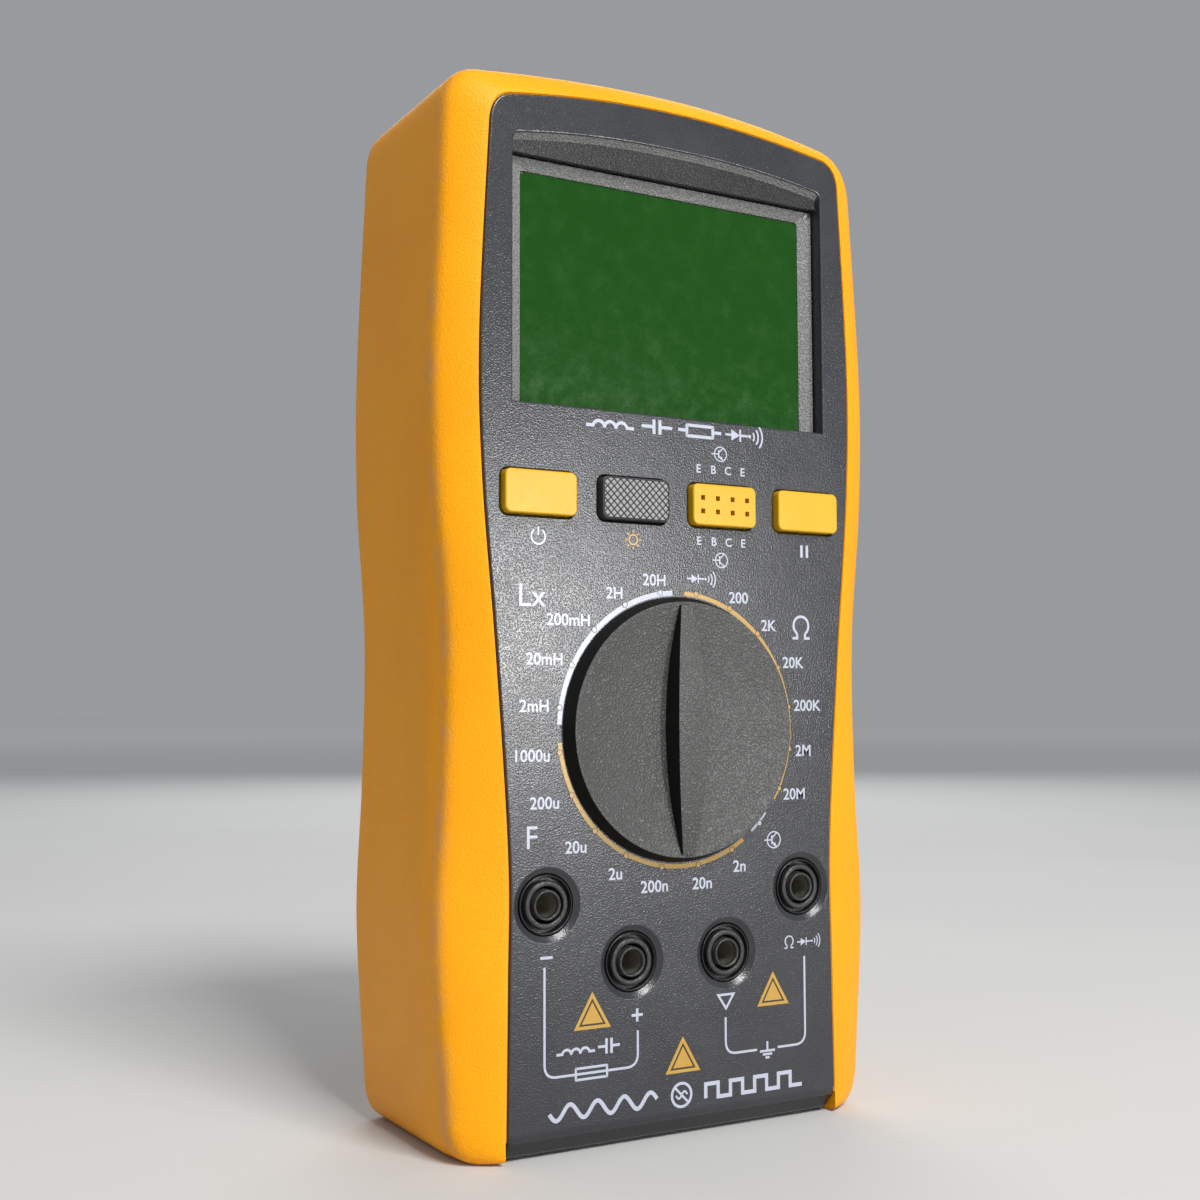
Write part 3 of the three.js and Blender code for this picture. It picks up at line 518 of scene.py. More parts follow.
def grained_plastic(name, colour, gloss, grain=0.3, relief=0.03, dust=0.25, highlight_and_wear=0.0):
    """Dark moulded plastic with a grain of small lumps, their tops painted paler as highlights, and a
    little dust.
    """
    made = Finish(name, linear(*colour), gloss)
    made.tint(made.steps(made.noise(14, 4, 0.6), 0.4, 0.75), paler(colour, 12), 0.5)
    made.tint(made.steps(made.noise(1.1, 5, 0.75), 0.6, 0.72), paler(colour, 34), dust)
    made.roughen(made.noise(5, 4, 0.6), gloss - 0.04, gloss + 0.06)
    lumps = made.steps(made.noise(grain, 1, 0.4), 0.4, 0.75)
    # Painted highlight: the tops of the lumps are tinted paler, standing in for the glints they catch.
    made.tint(made.steps(lumps, 0.55, 0.95), paler(colour, 60), highlight_and_wear)
    made.bump(lumps, relief, 1.0)
    return made.material


def key_plastic():
    made = Finish("key_plastic", linear(216, 166, 18), 0.3, specular=0.4)
    cloud = made.steps(made.noise(5, 3), 0.35, 0.7)
    made.tint(cloud, linear(220, 170, 30), 0.5)
    made.roughen(made.noise(1.5, 3), 0.28, 0.42)
    made.bump(made.noise(0.3, 2), 0.015, 0.6)
    return made.material


def hatched_rubber():
    """The cross-hatched key: pale diamond tops over dark grooves."""
    made = Finish("hatched_rubber", linear(30, 30, 31), 0.45, specular=0.3)
    height = made.math("SUBTRACT", PANEL_Y + KEY_FRONT + HATCH_FLOOR, made.coordinate("Y"))
    made.tint(made.steps(height, 0.3 * HATCH_RELIEF, 0.95 * HATCH_RELIEF), linear(150, 151, 152), 0.95)
    made.roughen(made.noise(2, 3), 0.35, 0.5)
    made.bump(made.noise(0.3, 2), 0.015, 0.6)
    return made.material


def plain_plastic(name, colour, roughness=0.5, grain=0.5, relief=0.03, cloud=0.15, specular=0.5):
    """A moulded plastic or rubber with slight cloudiness and grain."""
    made = Finish(name, linear(*colour), roughness, specular=specular)
    made.tint(made.steps(made.noise(4, 3), 0.35, 0.7), paler(colour, 22), cloud)
    made.roughen(made.noise(2, 3), roughness - 0.08, roughness + 0.08)
    made.bump(made.noise(grain, 2), relief, 0.7)
    return made.material


def metal(name, colour, roughness=0.3):
    made = Finish(name, linear(*colour), roughness, metallic=1.0)
    tarnish = made.steps(made.noise(2.2, 4, 0.6), 0.45, 0.75)
    made.tint(tarnish, linear(*[value * 0.6 for value in colour]), 0.4)
    made.roughen(made.noise(0.8, 3), roughness - 0.08, roughness + 0.15)
    made.bump(made.noise(0.3, 2), 0.01, 0.5)
    return made.material


def window_plastic():
    """Green tinted window with faint wipe marks and specks of dust towards its lower edge."""
    made = Finish("window_plastic", linear(16, 66, 5), 0.15, specular=0.4)
    smudge = made.steps(made.noise(4, 6, 0.75), 0.42, 0.75)
    made.tint(smudge, linear(28, 78, 18), 0.4)
    low = made.math("SUBTRACT", 1.0, made.steps(made.coordinate("Z"), 131, 146))
    haze = made.math("MULTIPLY", made.steps(made.noise(2.4, 6, 0.75), 0.42, 0.7), low)
    made.tint(haze, linear(58, 104, 50), 0.4)
    fleck = made.math("MULTIPLY", made.steps(made.noise(0.4, 2), 0.68, 0.8), low)
    made.tint(fleck, linear(96, 140, 88), 0.5)
    made.roughen(smudge, 0.12, 0.22)
    made.bump(made.noise(6, 2), 0.005, 0.3)
    return made.material


def glass(name, colour):
    made = Finish(name, linear(*colour), 0.08, specular=0.5)
    made.shader.inputs["Transmission Weight"].default_value = 0.6
    made.tint(made.steps(made.noise(3, 3), 0.45, 0.7), linear(*[value * 0.85 for value in colour]), 0.4)
    made.bump(made.noise(4, 2), 0.004, 0.3)
    return made.material


def board_laminate():
    """Green solder mask with a faint pattern of tracks under it."""
    made = Finish("board_laminate", linear(22, 84, 46), 0.32)
    across = made.math("FRACT", made.math("MULTIPLY", made.coordinate("X"), 0.39))
    along = made.math("FRACT", made.math("MULTIPLY", made.coordinate("Z"), 0.21))
    blocks = made.steps(made.noise(14, 0), 0.48, 0.52)
    upright = made.math("MULTIPLY", made.steps(across, 0.42, 0.5), blocks)
    level = made.math("MULTIPLY", made.steps(along, 0.4, 0.46), made.math("SUBTRACT", 1.0, blocks))
    tracks = made.math("MAXIMUM", upright, level)
    made.tint(tracks, linear(34, 112, 62), 0.7)
    made.bump(tracks, 0.03, 0.5)
    made.roughen(made.noise(3, 3), 0.26, 0.4)
    return made.material


def print_ink(name, colour):
    made = Finish(name, linear(*colour), 0.28, specular=0.5)
    highlight_and_wear = made.steps(made.noise(0.6, 3, 0.6), 0.6, 0.72)
    made.tint(highlight_and_wear, linear(*[value * 0.72 for value in colour]), 0.5)
    made.bump(made.noise(0.5, 2), 0.03, 0.5)
    return made.material


KEY_FRONT = -1.5
HATCH_FLOOR = 0.14           # depth of the grooves in the cross-hatched key, behind its rim
HATCH_RELIEF = 0.16

BOOT_RUBBER = boot_rubber()
PANEL_PLASTIC = grained_plastic("panel_plastic", (48, 49, 53), 0.24, 0.32, 0.016)
# Painted shade: a darker copy of the panel plastic for the floor of the display's brow recess.
RECESS_SHADE = grained_plastic("recess_painted_shade", (24, 24, 24), 0.35)
# Painted highlight: a pale grey for the bezel and the brow's sloped band, standing in for the light their
# bevels catch.
BEZEL_PAINTED_HIGHLIGHT = grained_plastic("bezel_painted_highlight", (120, 120, 119), 0.26, 0.4, 0.16, 0.4)
BACK_PLASTIC = grained_plastic("back_plastic", (44, 45, 48), 0.4)
# Painted highlight on the knob's lump tops.
KNOB_PLASTIC = grained_plastic("knob_plastic", (63, 63, 62), 0.4, 0.42, 0.09, highlight_and_wear=0.45)
# Painted shade: a near-black copy of the knob plastic for the knob's steep walls.
KNOB_WALL_SHADE = plain_plastic("knob_wall_painted_shade", (13, 13, 12), 0.7, 0.7, 0.05, specular=0.2)
KEY_PLASTIC = key_plastic()
SOFT_KEY = plain_plastic("soft_key", (64, 64, 65), 0.5, 0.4, 0.02, specular=0.3)
HATCHED_RUBBER = hatched_rubber()
WINDOW_PLASTIC = window_plastic()
JACK_PLASTIC = grained_plastic("jack_plastic", (36, 36, 37), 0.3, 0.22)
JACK_METAL = metal("jack_metal", (190, 186, 176), 0.45)
WHITE_PLASTIC = plain_plastic("white_plastic", (226, 226, 218), 0.5)
BLACK_PLASTIC = plain_plastic("black_plastic", (24, 24, 25), 0.45)
BLACK_RUBBER = plain_plastic("black_rubber", (20, 20, 20), 0.7)
BLUE_PLASTIC = plain_plastic("blue_plastic", (30, 70, 160), 0.4)
RED_PLASTIC = plain_plastic("red_plastic", (176, 30, 26), 0.45)
BRASS = metal("brass", (196, 154, 78))
STEEL = metal("steel", (176, 178, 182), 0.26)
GLASS = glass("clear_glass", (214, 228, 214))
BOARD = board_laminate()
INK_WHITE = print_ink("ink_white", (178, 183, 198))
INK_YELLOW = print_ink("ink_yellow", (186, 146, 62))
INK_DARK = print_ink("ink_dark", (58, 46, 26))


# ---------------------------------------------------------------- boot

LIP_GAP = 0.1                # hairline between the boot's lip and the panel
BEVEL_PROFILE = [            # share of the way from the lip to the ridge, depth
    (0.0, 0.5), (0.012, 0.3), (0.035, 0.22), (0.08, 0.3), (0.18, 0.62), (0.34, 1.2), (0.5, 1.85),
    (0.64, 2.5), (0.76, 3.1), (0.85, 3.65), (0.915, 4.2), (0.96, 4.85), (0.987, 5.7), (1.0, 6.9),
]
RIDGE_TO_BODY = [(0.35, 8.2), (0.75, 9.8), (1.0, 12)]    # share of the way on to the full width, depth
WINDOW_PROFILE = [           # growth of the opening, depth from the boot's back
    (0, -0.9), (0.08, -0.55), (0.3, -0.2), (0.9, 0), (0.9, 1),
]
BOOT_INSIDE = CASE_BACK + GAP


def stand_window(grow=0.0):
    """The opening in the boot's back: wide over the battery door, narrow between the stand's hinge ears."""
    wide, narrow = 33 + grow, 25 + grow
    low, neck, top = 10 - grow, 132 + grow, 143 + grow
    right = [(wide, low, 5), (wide, neck, 3), (narrow, neck, 1.5 + grow), (narrow, top, 2)]
    left = [(-x, z, radius) for x, z, radius in reversed(right)]
    return fillet([left[-1]] + right + left[:-1])


def boot_ridge():
    """The boot's front ridge, whose left half fills out to the full width towards the shoulder."""
    waist, rise = 130, 45
    ridge = []
    for place, full in zip(BOOT, BOOT_BODY):
        share = 0.0 if place[0] > 0 else min(1.0, max(0.0, (full[1] - waist) / rise))
        ridge += mix([place], [full], share)
    return ridge


def make_boot():
    lip = inset(panel_outline(1.0), -0.2)
    ridge = boot_ridge()
    rings = [(mix(lip, ridge, share), depth) for share, depth in BEVEL_PROFILE]
    rings += [(mix(ridge, BOOT_BODY, share), depth) for share, depth in RIDGE_TO_BODY]
    edge_depth, edge_width = 1.6, 1.4
    for step in range(7):
        angle = math.radians(90 * step / 6)
        depth = BOOT_BACK - edge_depth * (1 - math.sin(angle))
        rings.append((inset(BOOT_BODY, edge_width * (1 - math.cos(angle))), depth))
    boot = loft("boot", rings)
    room = inset(CASE, -GAP)
    room_rings = [(room, 5.7), (room, CASE_BACK - CASE_EDGE + GAP), (inset(room, CASE_EDGE), BOOT_INSIDE)]
    window_rings = [(stand_window(), BOOT_INSIDE - 1)]
    window_rings += [(stand_window(grow), BOOT_BACK + depth) for grow, depth in WINDOW_PROFILE]
    panel_room = inset(PANEL, -LIP_GAP)
    depth = sum(node_depths("tilt_stand")) / 2
    hinge_z = node_box("tilt_stand")[1].z - 1.2
    carve(
        boot,
        slab("panel_cut", panel_room, -1, PLATEAU),
        slab("foot_cut", rounded_rectangle(34.9, 4, 0.3), -1, 6),
        loft("case_cut", room_rings),
        loft("window_cut", window_rings),
        crossbar("pin_cut", 1.05, -28, 28, depth, hinge_z),
    )
    return dress(boot, "case", BOOT_RUBBER, "boot_rubber", "holster")


# ---------------------------------------------------------------- case

DISPLAY_HALF = 33.8
DISPLAY_BOTTOM = 130.3
DISPLAY_STEP = 175.1
DISPLAY_SHOULDER = 178.2
DISPLAY_CROWN = 180.7
BROW_DEPTH = 1.3
BROW_PROFILE = [             # growth and crown drop of the recess's outline, depth
    ((0.35,), -1), ((0.35,), 0), ((0.1,), 0.12), ((0,), 0.35), ((0, BROW_DEPTH - 0.3), BROW_DEPTH),
]
FOOT_PROFILE = [             # how far the panel narrows, where its foot lies, depth
    (0.4, 4.75, 0.0), (0.12, 4.2, 0.12), (0.0, 3.5, 0.45), (0.0, 1.05, 2.35), (0.0, 0.65, 2.8),
    (0.0, PANEL_BASE, 3.4),
]
JACK_MOUTH = [               # radius, depth of the dished opening round each jack
    (0, -1), (6.6, -1), (6.6, 0), (6.42, 0.03), (6.28, 0.12), (6.12, 0.26), (5.6, 0.52), (5.42, 0.66),
    (5.32, 0.95), (5.3, 4), (0, 4),
]


def brow_outline(grow, crown_drop=0.0):
    """The display recess: square at the bottom, with rounded upper corners under a shallow crown."""
    half = DISPLAY_HALF + grow
    shoulder = DISPLAY_SHOULDER + grow - crown_drop
    crown = DISPLAY_CROWN + grow - crown_drop
    corner = 1.6
    right = [(half, DISPLAY_BOTTOM - grow), (half, shoulder - corner)]
    right += bend_points((half, shoulder - corner), (half, shoulder), (half - corner, shoulder + 0.12), 6)
    right += bend_points((half - corner, shoulder + 0.12), (half / 2, crown + 0.15), (0, crown), 20)
    return right + [(-x, z) for x, z in reversed(right[:-1])]


def make_front():
    """The front shell: raised panel with a chamfered foot, shoulder and skirt, hollow behind."""
    rings = [(inset(panel_outline(base), narrow), depth) for narrow, base, depth in FOOT_PROFILE]
    front = loft("front_panel", rings + [(PANEL, PLATEAU)])
    merge(front, slab("front_case", CASE, PLATEAU, SPLIT))
    carve(front, slab("panel_room", inset(panel_outline(4.3, 2 * CASE_WALL), CASE_WALL), CASE_WALL, 9),
          slab("case_room", inset(CASE, CASE_WALL), 8.2, 21))
    merge(front, slab("display_frame", rounded_rectangle(36.2, 27.8, 1, 0, 155.4), CASE_WALL - 0.5, 4.9))
    middle_z, half_height = (DISPLAY_STEP + DISPLAY_BOTTOM) / 2, (DISPLAY_STEP - DISPLAY_BOTTOM) / 2
    tools = [
        loft("brow_cut", [(brow_outline(*shape), depth) for shape, depth in BROW_PROFILE]),
        slab("opening_cut", rounded_rectangle(DISPLAY_HALF, half_height, 0.4, 0, middle_z), -1, 6),
        turned("hub_cut", [(0, -1), (8, -1), (8, 4), (0, 4)], 0, DIAL_Z),
    ]
    tools += [mouth("key_cut", key_outline(x, GAP), 0, 4, 0.25) for x in KEY_X.values()]
    tools += [turned("jack_cut", JACK_MOUTH, x, z) for x, z in JACKS]
    carve(front, *tools)
    for material in (PANEL_PLASTIC, RECESS_SHADE, BEZEL_PAINTED_HIGHLIGHT):
        front.data.materials.append(material)
    for polygon in front.data.polygons:
        x, depth, z = polygon.center.x / MM, polygon.center.y / MM - PANEL_Y, polygon.center.z / MM
        # Painted shade: the floor of the brow recess takes the darker copy of the panel plastic.
        if abs(depth - BROW_DEPTH) < 0.1:
            polygon.material_index = 1
        # Painted highlight: the sloped band over the brow recess takes the bezel's pale grey.
        elif 0.3 < depth < BROW_DEPTH and z > DISPLAY_STEP and abs(x) < DISPLAY_HALF - 0.5:
            polygon.material_index = 2
    return dress(front, "case", None, "panel_plastic", "front_cover")


def make_back():
    """The rear shell with the battery opening."""
    start, inner = SPLIT + GAP, CASE_BACK - 1
    rings = [(CASE, start), (CASE, CASE_BACK - CASE_EDGE)]
    for amount, short in ((0.5, 0.7), (1.3, 0.15), (CASE_EDGE, 0)):
        rings.append((inset(CASE, amount), CASE_BACK - short))
    back = loft("back_shell", rings)
    carve(back, slab("back_room", inset(CASE, CASE_WALL), start - 1, CASE_BACK - 2.8),
          slab("door_cut", node_rectangle("battery_door", 1.6, GAP), 30, CASE_BACK + 1))
    wall_half = 0.75
    wall_z = node_box("battery_door")[1].z + GAP + 0.5 + wall_half
    merge(back, slab("battery_wall", rounded_rectangle(28, wall_half, 0.3, 0, wall_z), 18, inner))
    boss = [(1.7, start), (4.1, start), (4.1, inner), (1.7, inner), (1.7, start)]
    for x in (-35, 35):
        for z in (14, 177):
            merge(back, turned("boss", boss, x, z, 32))
    return dress(back, "case", BACK_PLASTIC, "back_plastic", "back_cover")


# ---------------------------------------------------------------- display

def make_display():
    front, back = node_depths("display_bezel")
    inner_half, inner_top = 30.7, 172.7
    bezel = slab("bezel", node_rectangle("display_bezel", 0.3), front, back)

    def opening(spread):
        side = inner_half + spread
        top = inner_top + spread * 0.75
        return fillet([(x, z, 0.8) for x, z in ((-side, 120), (side, 120), (side, top), (-side, top))])

    cut = [(2.5, front - 0.2), (2.35, front + 0.02), (0.12, front + 0.72), (0, front + 0.85), (0, back + 1)]
    carve(bezel, loft("bezel_cut", [(opening(spread), depth) for spread, depth in cut]))
    # The bezel's pale grey is a painted highlight.
    dress(bezel, "case", BEZEL_PAINTED_HIGHLIGHT, "panel_plastic", "display_bezel")
    front, back = node_depths("display_window")
    face = rounded_rectangle(inner_half - 0.06, 20.9, 0.8, 0, 151.7)
    window = slab("window", face, front, back - 0.4, 0.12)
    merge(window, slab("flange", node_rectangle("display_window", 0.5), back - 1, back))
    dress(window, "case", WINDOW_PLASTIC, "window_plastic", "display_window")


# ---------------------------------------------------------------- knob

KNOB_PROFILE = [             # radius, depth of the dished face, the rim and the hub
    (0, -1.2), (5, -1.21), (9, -1.32), (13, -1.56), (17, -1.95), (20, -2.32), (22.2, -2.68), (22.8, -2.78),
    (22.98, -2.76), (23.06, -2.66), (23.1, -2.5), (23.95, -0.5), (24, -0.3),
    (7.7, -0.3), (7.7, 9), (0, 9),
]


def make_knob():
    knob = turned("knob", KNOB_PROFILE, 0, DIAL_Z, 160)
    merge(knob, make_grip())
    knob.data.materials.append(KNOB_PLASTIC)
    knob.data.materials.append(KNOB_WALL_SHADE)
    # Painted shade: faces turned more than 52 degrees from the front, the rim's wall and the grip's flanks,
    # take the near-black copy.
    steep = math.cos(math.radians(52))
    for polygon in knob.data.polygons:
        polygon.material_index = 1 if -polygon.normal.y < steep else 0
    dress(knob, "range_knob", None, "knob_plastic", "selector_knob", sharp=40)


def make_grip():
    """The lens-shaped bar across the knob, highest in the middle, with flat ends."""
    half_length, mid_half, end_half = 22.4, 3.7, 1.6
    mid_top, end_top, foot = 5.0, 3.2, -0.4
    stations = 48
    points = []
    for station in range(stations + 1):
        along = -1 + 2 * station / stations
        bulge = 1 - along * along
        half = end_half + (mid_half - end_half) * bulge
        top = -(end_top + (mid_top - end_top) * bulge)
        upper = 0.86 * half
        right = [(half, foot), (upper + 0.02, top + 0.3), (upper - 0.1, top + 0.08), (upper - 0.35, top)]
        left = [(-x, depth) for x, depth in reversed(right)]
        section = [left[-1]] + right + left[:-1]
        points += [at(x, depth, DIAL_Z + along * half_length) for x, depth in section]
    return skin("grip", points, len(section))


# ---------------------------------------------------------------- keys

KEY_HALF_WIDTH = 7.05
KEY_HALF_HEIGHT = 3.85
KEY_FLANGE_FRONT = 2.5
KEY_FLANGE_BACK = 3.5
KEY_STEM_END = 8.4
HATCH_HALF = (KEY_HALF_WIDTH - 0.3, KEY_HALF_HEIGHT - 0.3)
HATCH_CORNER = 1.0
SOCKET_PITCH = 3.3           # between the transistor socket's holes


def key_outline(x, grow=0.0):
    return rounded_rectangle(KEY_HALF_WIDTH + grow, KEY_HALF_HEIGHT + grow, 1.2 + grow, x, KEY_Z)


def key_solid(name, x, stem=True):
    cap = slab(name, key_outline(x), KEY_FRONT, KEY_FLANGE_FRONT + 0.2, 0.35)
    flange = rounded_rectangle(7.65, 5.05, 0.3, x, KEY_Z)
    parts = [slab("flange", flange, KEY_FLANGE_FRONT, KEY_FLANGE_BACK)]
    if stem:
        parts.append(slab("stem", rounded_rectangle(2, 1.5, 0.3, x, KEY_Z), 3, KEY_STEM_END))
    return merge(cap, *parts)


def hatch_height(x, z):
    """Relief of the cross-hatched key: 1 on the little diamonds, 0 in the grooves between them."""
    pitch, groove = 0.96, 0.28
    height = 1.0
    for along in ((x + z) / math.sqrt(2), (x - z) / math.sqrt(2)):
        place = abs((along / pitch) % 1.0 - 0.5) * 2
        height = min(height, max(0.0, min(1.0, (1 - place - 0.06) / groove)))
    return height


def make_hatched_face(x):
    """The front of the backlight key as a fine grid pressed into diamonds."""
    columns, rows = 126, 68
    half_width, half_height = HATCH_HALF
    floor = KEY_FRONT + HATCH_FLOOR
    corner = HATCH_CORNER
    points = []
    for row in range(rows + 1):
        for column in range(columns + 1):
            u = -1 + 2 * column / columns
            v = -1 + 2 * row / rows
            px, pz = u * half_width, v * half_height
            over_x, over_z = abs(px) - (half_width - corner), abs(pz) - (half_height - corner)
            if over_x > 0 and over_z > 0 and math.hypot(over_x, over_z) > corner:
                shrink = corner / math.hypot(over_x, over_z)
                px = math.copysign(half_width - corner + over_x * shrink, px)
                pz = math.copysign(half_height - corner + over_z * shrink, pz)
            border = 0 if row in (0, rows) or column in (0, columns) else 1
            points.append(at(x + px, floor - HATCH_RELIEF * border * hatch_height(px, pz), KEY_Z + pz))
    width = columns + 1
    faces = [(row * width + column, row * width + column + 1, (row + 1) * width + column + 1,
              (row + 1) * width + column) for row in range(rows) for column in range(columns)]
    border = list(range(columns)) + [row * width + columns for row in range(rows)]
    border += [rows * width + column for column in range(columns, 0, -1)]
    border += [row * width for row in range(rows, 0, -1)]
    first = len(points)
    points += [Vector((points[index].x, at(0, 1, 0).y, points[index].z)) for index in border]
    count = len(border)
    faces += [(border[index], border[(index + 1) % count], first + (index + 1) % count, first + index)
              for index in range(count)]
    faces.append(tuple(range(first, first + count)))
    return from_faces("backlight_hatch", points, faces)


def make_keys():
    for name, body in (("power_button", "power_key"), ("hold_button", "hold_key")):
        key = key_solid(name.replace("button", "cap"), KEY_X[name])
        dress(key, body, KEY_PLASTIC, "key_plastic", name)
    x = KEY_X["backlight_button"]
    rim = key_solid("backlight_cap", x)
    pocket = inset(rounded_rectangle(*HATCH_HALF, HATCH_CORNER, x, KEY_Z), -0.02)
    carve(rim, slab("pocket", pocket, KEY_FRONT - 1, 1.02))
    dress(rim, "backlight_key", SOFT_KEY, "soft_key", "backlight_button")
    dress(make_hatched_face(x), "backlight_key", HATCHED_RUBBER, "soft_key", sharp=60)
    x = KEY_X["transistor_socket"]
    socket = key_solid("socket_cap", x, stem=False)
    end = node_depths("transistor_socket")[1]
    merge(socket, slab("socket_body", rounded_rectangle(6.5, 3.5, 0.4, x, KEY_Z), 3, end))
    holes = []
    for column in range(4):
        for row in (-0.5, 0.5):
            hole_x = x + (column - 1.5) * SOCKET_PITCH
            hole = rounded_rectangle(0.45, 0.45, 0.06, hole_x, KEY_Z + row * 2.5, 2)
            holes.append(slab("pin_hole", hole, KEY_FRONT - 1, 8))
    carve(socket, *holes)
    dress(socket, "case", KEY_PLASTIC, "key_plastic", "transistor_socket")


# ---------------------------------------------------------------- jacks

JACK_END = node_depths("jack_housing_1")[1]
COLLAR_PROFILE = [           # radius, depth: the flat face, the groove, the thin lip, then the back
    (3.2, 9), (3.2, 0.5), (3.24, 0.32), (3.34, 0.23), (3.5, 0.2), (3.86, 0.2), (4.02, 0.24), (4.14, 0.35),
    (4.2, 0.55), (4.2, 1.7), (4.85, 1.7),
    (4.85, 0.62), (4.91, 0.5), (5, 0.45), (5.09, 0.5), (5.15, 0.62), (5.15, 2.5),
    (6, 2.5), (6, 4), (4.8, 4), (4.8, JACK_END), (1, JACK_END), (1, 13.3), (3, 13.3), (3, 9), (3.2, 9),
]
SLEEVE_PROFILE = [           # radius, depth: the rounded front ring, then the socket and its tail
    (2, 1.3), (2, 0.5), (2.03, 0.24), (2.12, 0.04), (2.26, -0.07), (2.42, -0.1), (2.56, -0.06),
    (2.66, 0.06), (2.7, 0.25), (2.7, 13), (0.7, 13), (0.7, 18.2), (0, 18.2), (0, 12), (2, 12), (2, 1.3),
]


def make_jacks():
    for number, (x, z) in enumerate(JACKS, 1):
        collar = turned(f"jack_collar_{number}", COLLAR_PROFILE, x, z, 72)
        dress(collar, "case", JACK_PLASTIC, "jack_plastic", f"jack_housing_{number}")
        contact = turned(f"jack_contact_{number}", SLEEVE_PROFILE, x, z, 64)
        contact.data.materials.append(JACK_PLASTIC)
        contact.data.materials.append(JACK_METAL)
        for polygon in contact.data.polygons:
            polygon.material_index = 1 if polygon.center.y > at(0, 0.6, 0).y else 0
        dress(contact, "case", None, "brass_contact", f"jack_sleeve_{number}")


# ---------------------------------------------------------------- back: stand, battery door, battery

def make_stand():
    low, high = node_box("tilt_stand")
    front, back = node_depths("tilt_stand")
    half, barrel = 24.3, (back - front) / 2
    hinge_z = high.z - barrel
    depth = (front + back) / 2
    outline = rounded_rectangle(half, (hinge_z - low.z) / 2, 2.2, 0, (low.z + hinge_z) / 2)
    plate = slab("stand_flap", outline, front, back, 0.35, 0.5)
    merge(plate, crossbar("barrel", barrel, -half, half, depth, hinge_z),
          crossbar("pin", 0.8, -27.4, 27.4, depth, hinge_z))
    panel = rounded_rectangle(17, 30, 3, 0, 98)
    cut = [(0.5, back - 0.9), (0, back - 0.55), (-0.4, back), (-0.4, back + 1)]
    carve(plate, loft("panel_cut", [(inset(panel, amount), depth) for amount, depth in cut]),
          slab("finger_cut", rounded_rectangle(8, 5, 2, 0, low.z), front - 1, front + 0.9))
    ribs = [rounded_rectangle(12, 0.9, 0.85, 0, 84 + 5.6 * step) for step in range(6)]
    merge(plate, *[slab("rib", rib, back - 1.2, back - 0.3, 0, 0.25) for rib in ribs])
    dress(plate, "stand", BACK_PLASTIC, "back_plastic", "tilt_stand")


def screw(name, x, z, seat, head_back, head_radius, tip, body, replaced):
    """A screw seen from behind, with a cross recess in its head."""
    depth = head_back - seat
    profile = [(0, tip), (0.8, tip), (1.15, tip + 0.8), (1.15, seat), (head_radius * 0.96, seat),
               (head_radius, seat + depth * 0.2), (head_radius, seat + depth * 0.5),
               (head_radius * 0.93, seat + depth * 0.78), (head_radius * 0.75, head_back - depth * 0.06),
               (head_radius * 0.5, head_back), (0, head_back)]
    made = turned(name, profile, x, z, 40)
    length, width = head_radius * 0.58, 0.3
    for half_x, half_z in ((length, width), (width, length)):
        bar = rounded_rectangle(half_x, half_z, 0.12, x, z, 2)
        carve(made, slab("bar", bar, head_back - depth * 0.55, head_back + 1))
    return dress(made, body, STEEL, "steel", replaced)


def make_door():
    front, back = node_depths("battery_door")
    door = slab("door_panel", node_rectangle("battery_door", 1.5), front, back, 0, 0.3)
    centre = node_centre("battery_door_screw")
    seat = [(0, back - 1), (2.9, back - 1), (2.9, back - 0.2), (3.1, back), (3.1, back + 1), (0, back + 1)]
    hole = [(0, front - 1), (1.6, front - 1), (1.6, back + 1), (0, back + 1)]
    tools = [turned("seat", seat, centre.x, centre.z, 48), turned("hole", hole, centre.x, centre.z, 32),
             slab("arrow", [(-3, 33), (3, 33), (0, 29)], back - 0.35, back + 1)]
    tools += [slab("groove", rounded_rectangle(9, 0.6, 0.55, 0, z), back - 0.7, back + 1)
              for z in (19.6, 22.6, 25.6)]
    carve(door, *tools)
    dress(door, "battery_cover", BACK_PLASTIC, "back_plastic", "battery_door")
    tip, end = node_depths("battery_door_screw")
    screw("door_screw", centre.x, centre.z, end - 0.9, end, 2.6, tip, "battery_cover", "battery_door_screw")


TERMINAL_REACH = 2.5         # the battery's terminals stand this far out of its can


def make_battery():
    low, high = node_box("battery_9v")
    front, back = node_depths("battery_9v")
    left = low.x + TERMINAL_REACH
    middle_depth, middle_z = (front + back) / 2, (low.z + high.z) / 2
    section = rounded_rectangle((back - front) / 2, (high.z - low.z) / 2, 2, middle_depth, middle_z)
    lead_in, soft = 0.5, 0.15
    rings = [(lead_in, left), (soft, left + soft), (0, left + lead_in),
             (0, high.x - lead_in), (soft, high.x - soft), (lead_in, high.x)]
    points = [at(x, depth, z) for amount, x in rings for depth, z in inset(section, amount)]
    body = skin("battery", points, len(section))
    for offset in (-6.5, 6.5):
        merge(body, crossbar("terminal", 3, low.x, left + 1, middle_depth, middle_z + offset))
    dress(body, "case", battery_jacket(left), "battery_jacket", "battery_9v")


def battery_jacket(left):
    """A plain printed jacket: dark, with a copper-coloured band round one end and bare metal tips."""
    made = Finish("battery_jacket", linear(38, 40, 46), 0.3, specular=0.5)
    band = made.steps(made.coordinate("X"), 12.0, 12.2)
    made.tint(band, linear(170, 104, 48), 1.0)
    bare = made.math("SUBTRACT", 1.0, made.steps(made.coordinate("X"), left + 0.6, left + 0.7))
    made.tint(bare, linear(170, 172, 176), 1.0)
    made.links.new(bare, made.shader.inputs["Metallic"])
    made.tint(made.steps(made.noise(2, 4, 0.7), 0.6, 0.75), linear(92, 92, 94), 0.2)
    made.roughen(made.noise(3, 3), 0.24, 0.42)
    made.bump(made.noise(5, 2), 0.03, 0.3)
    return made.material


# ---------------------------------------------------------------- prints on the panel

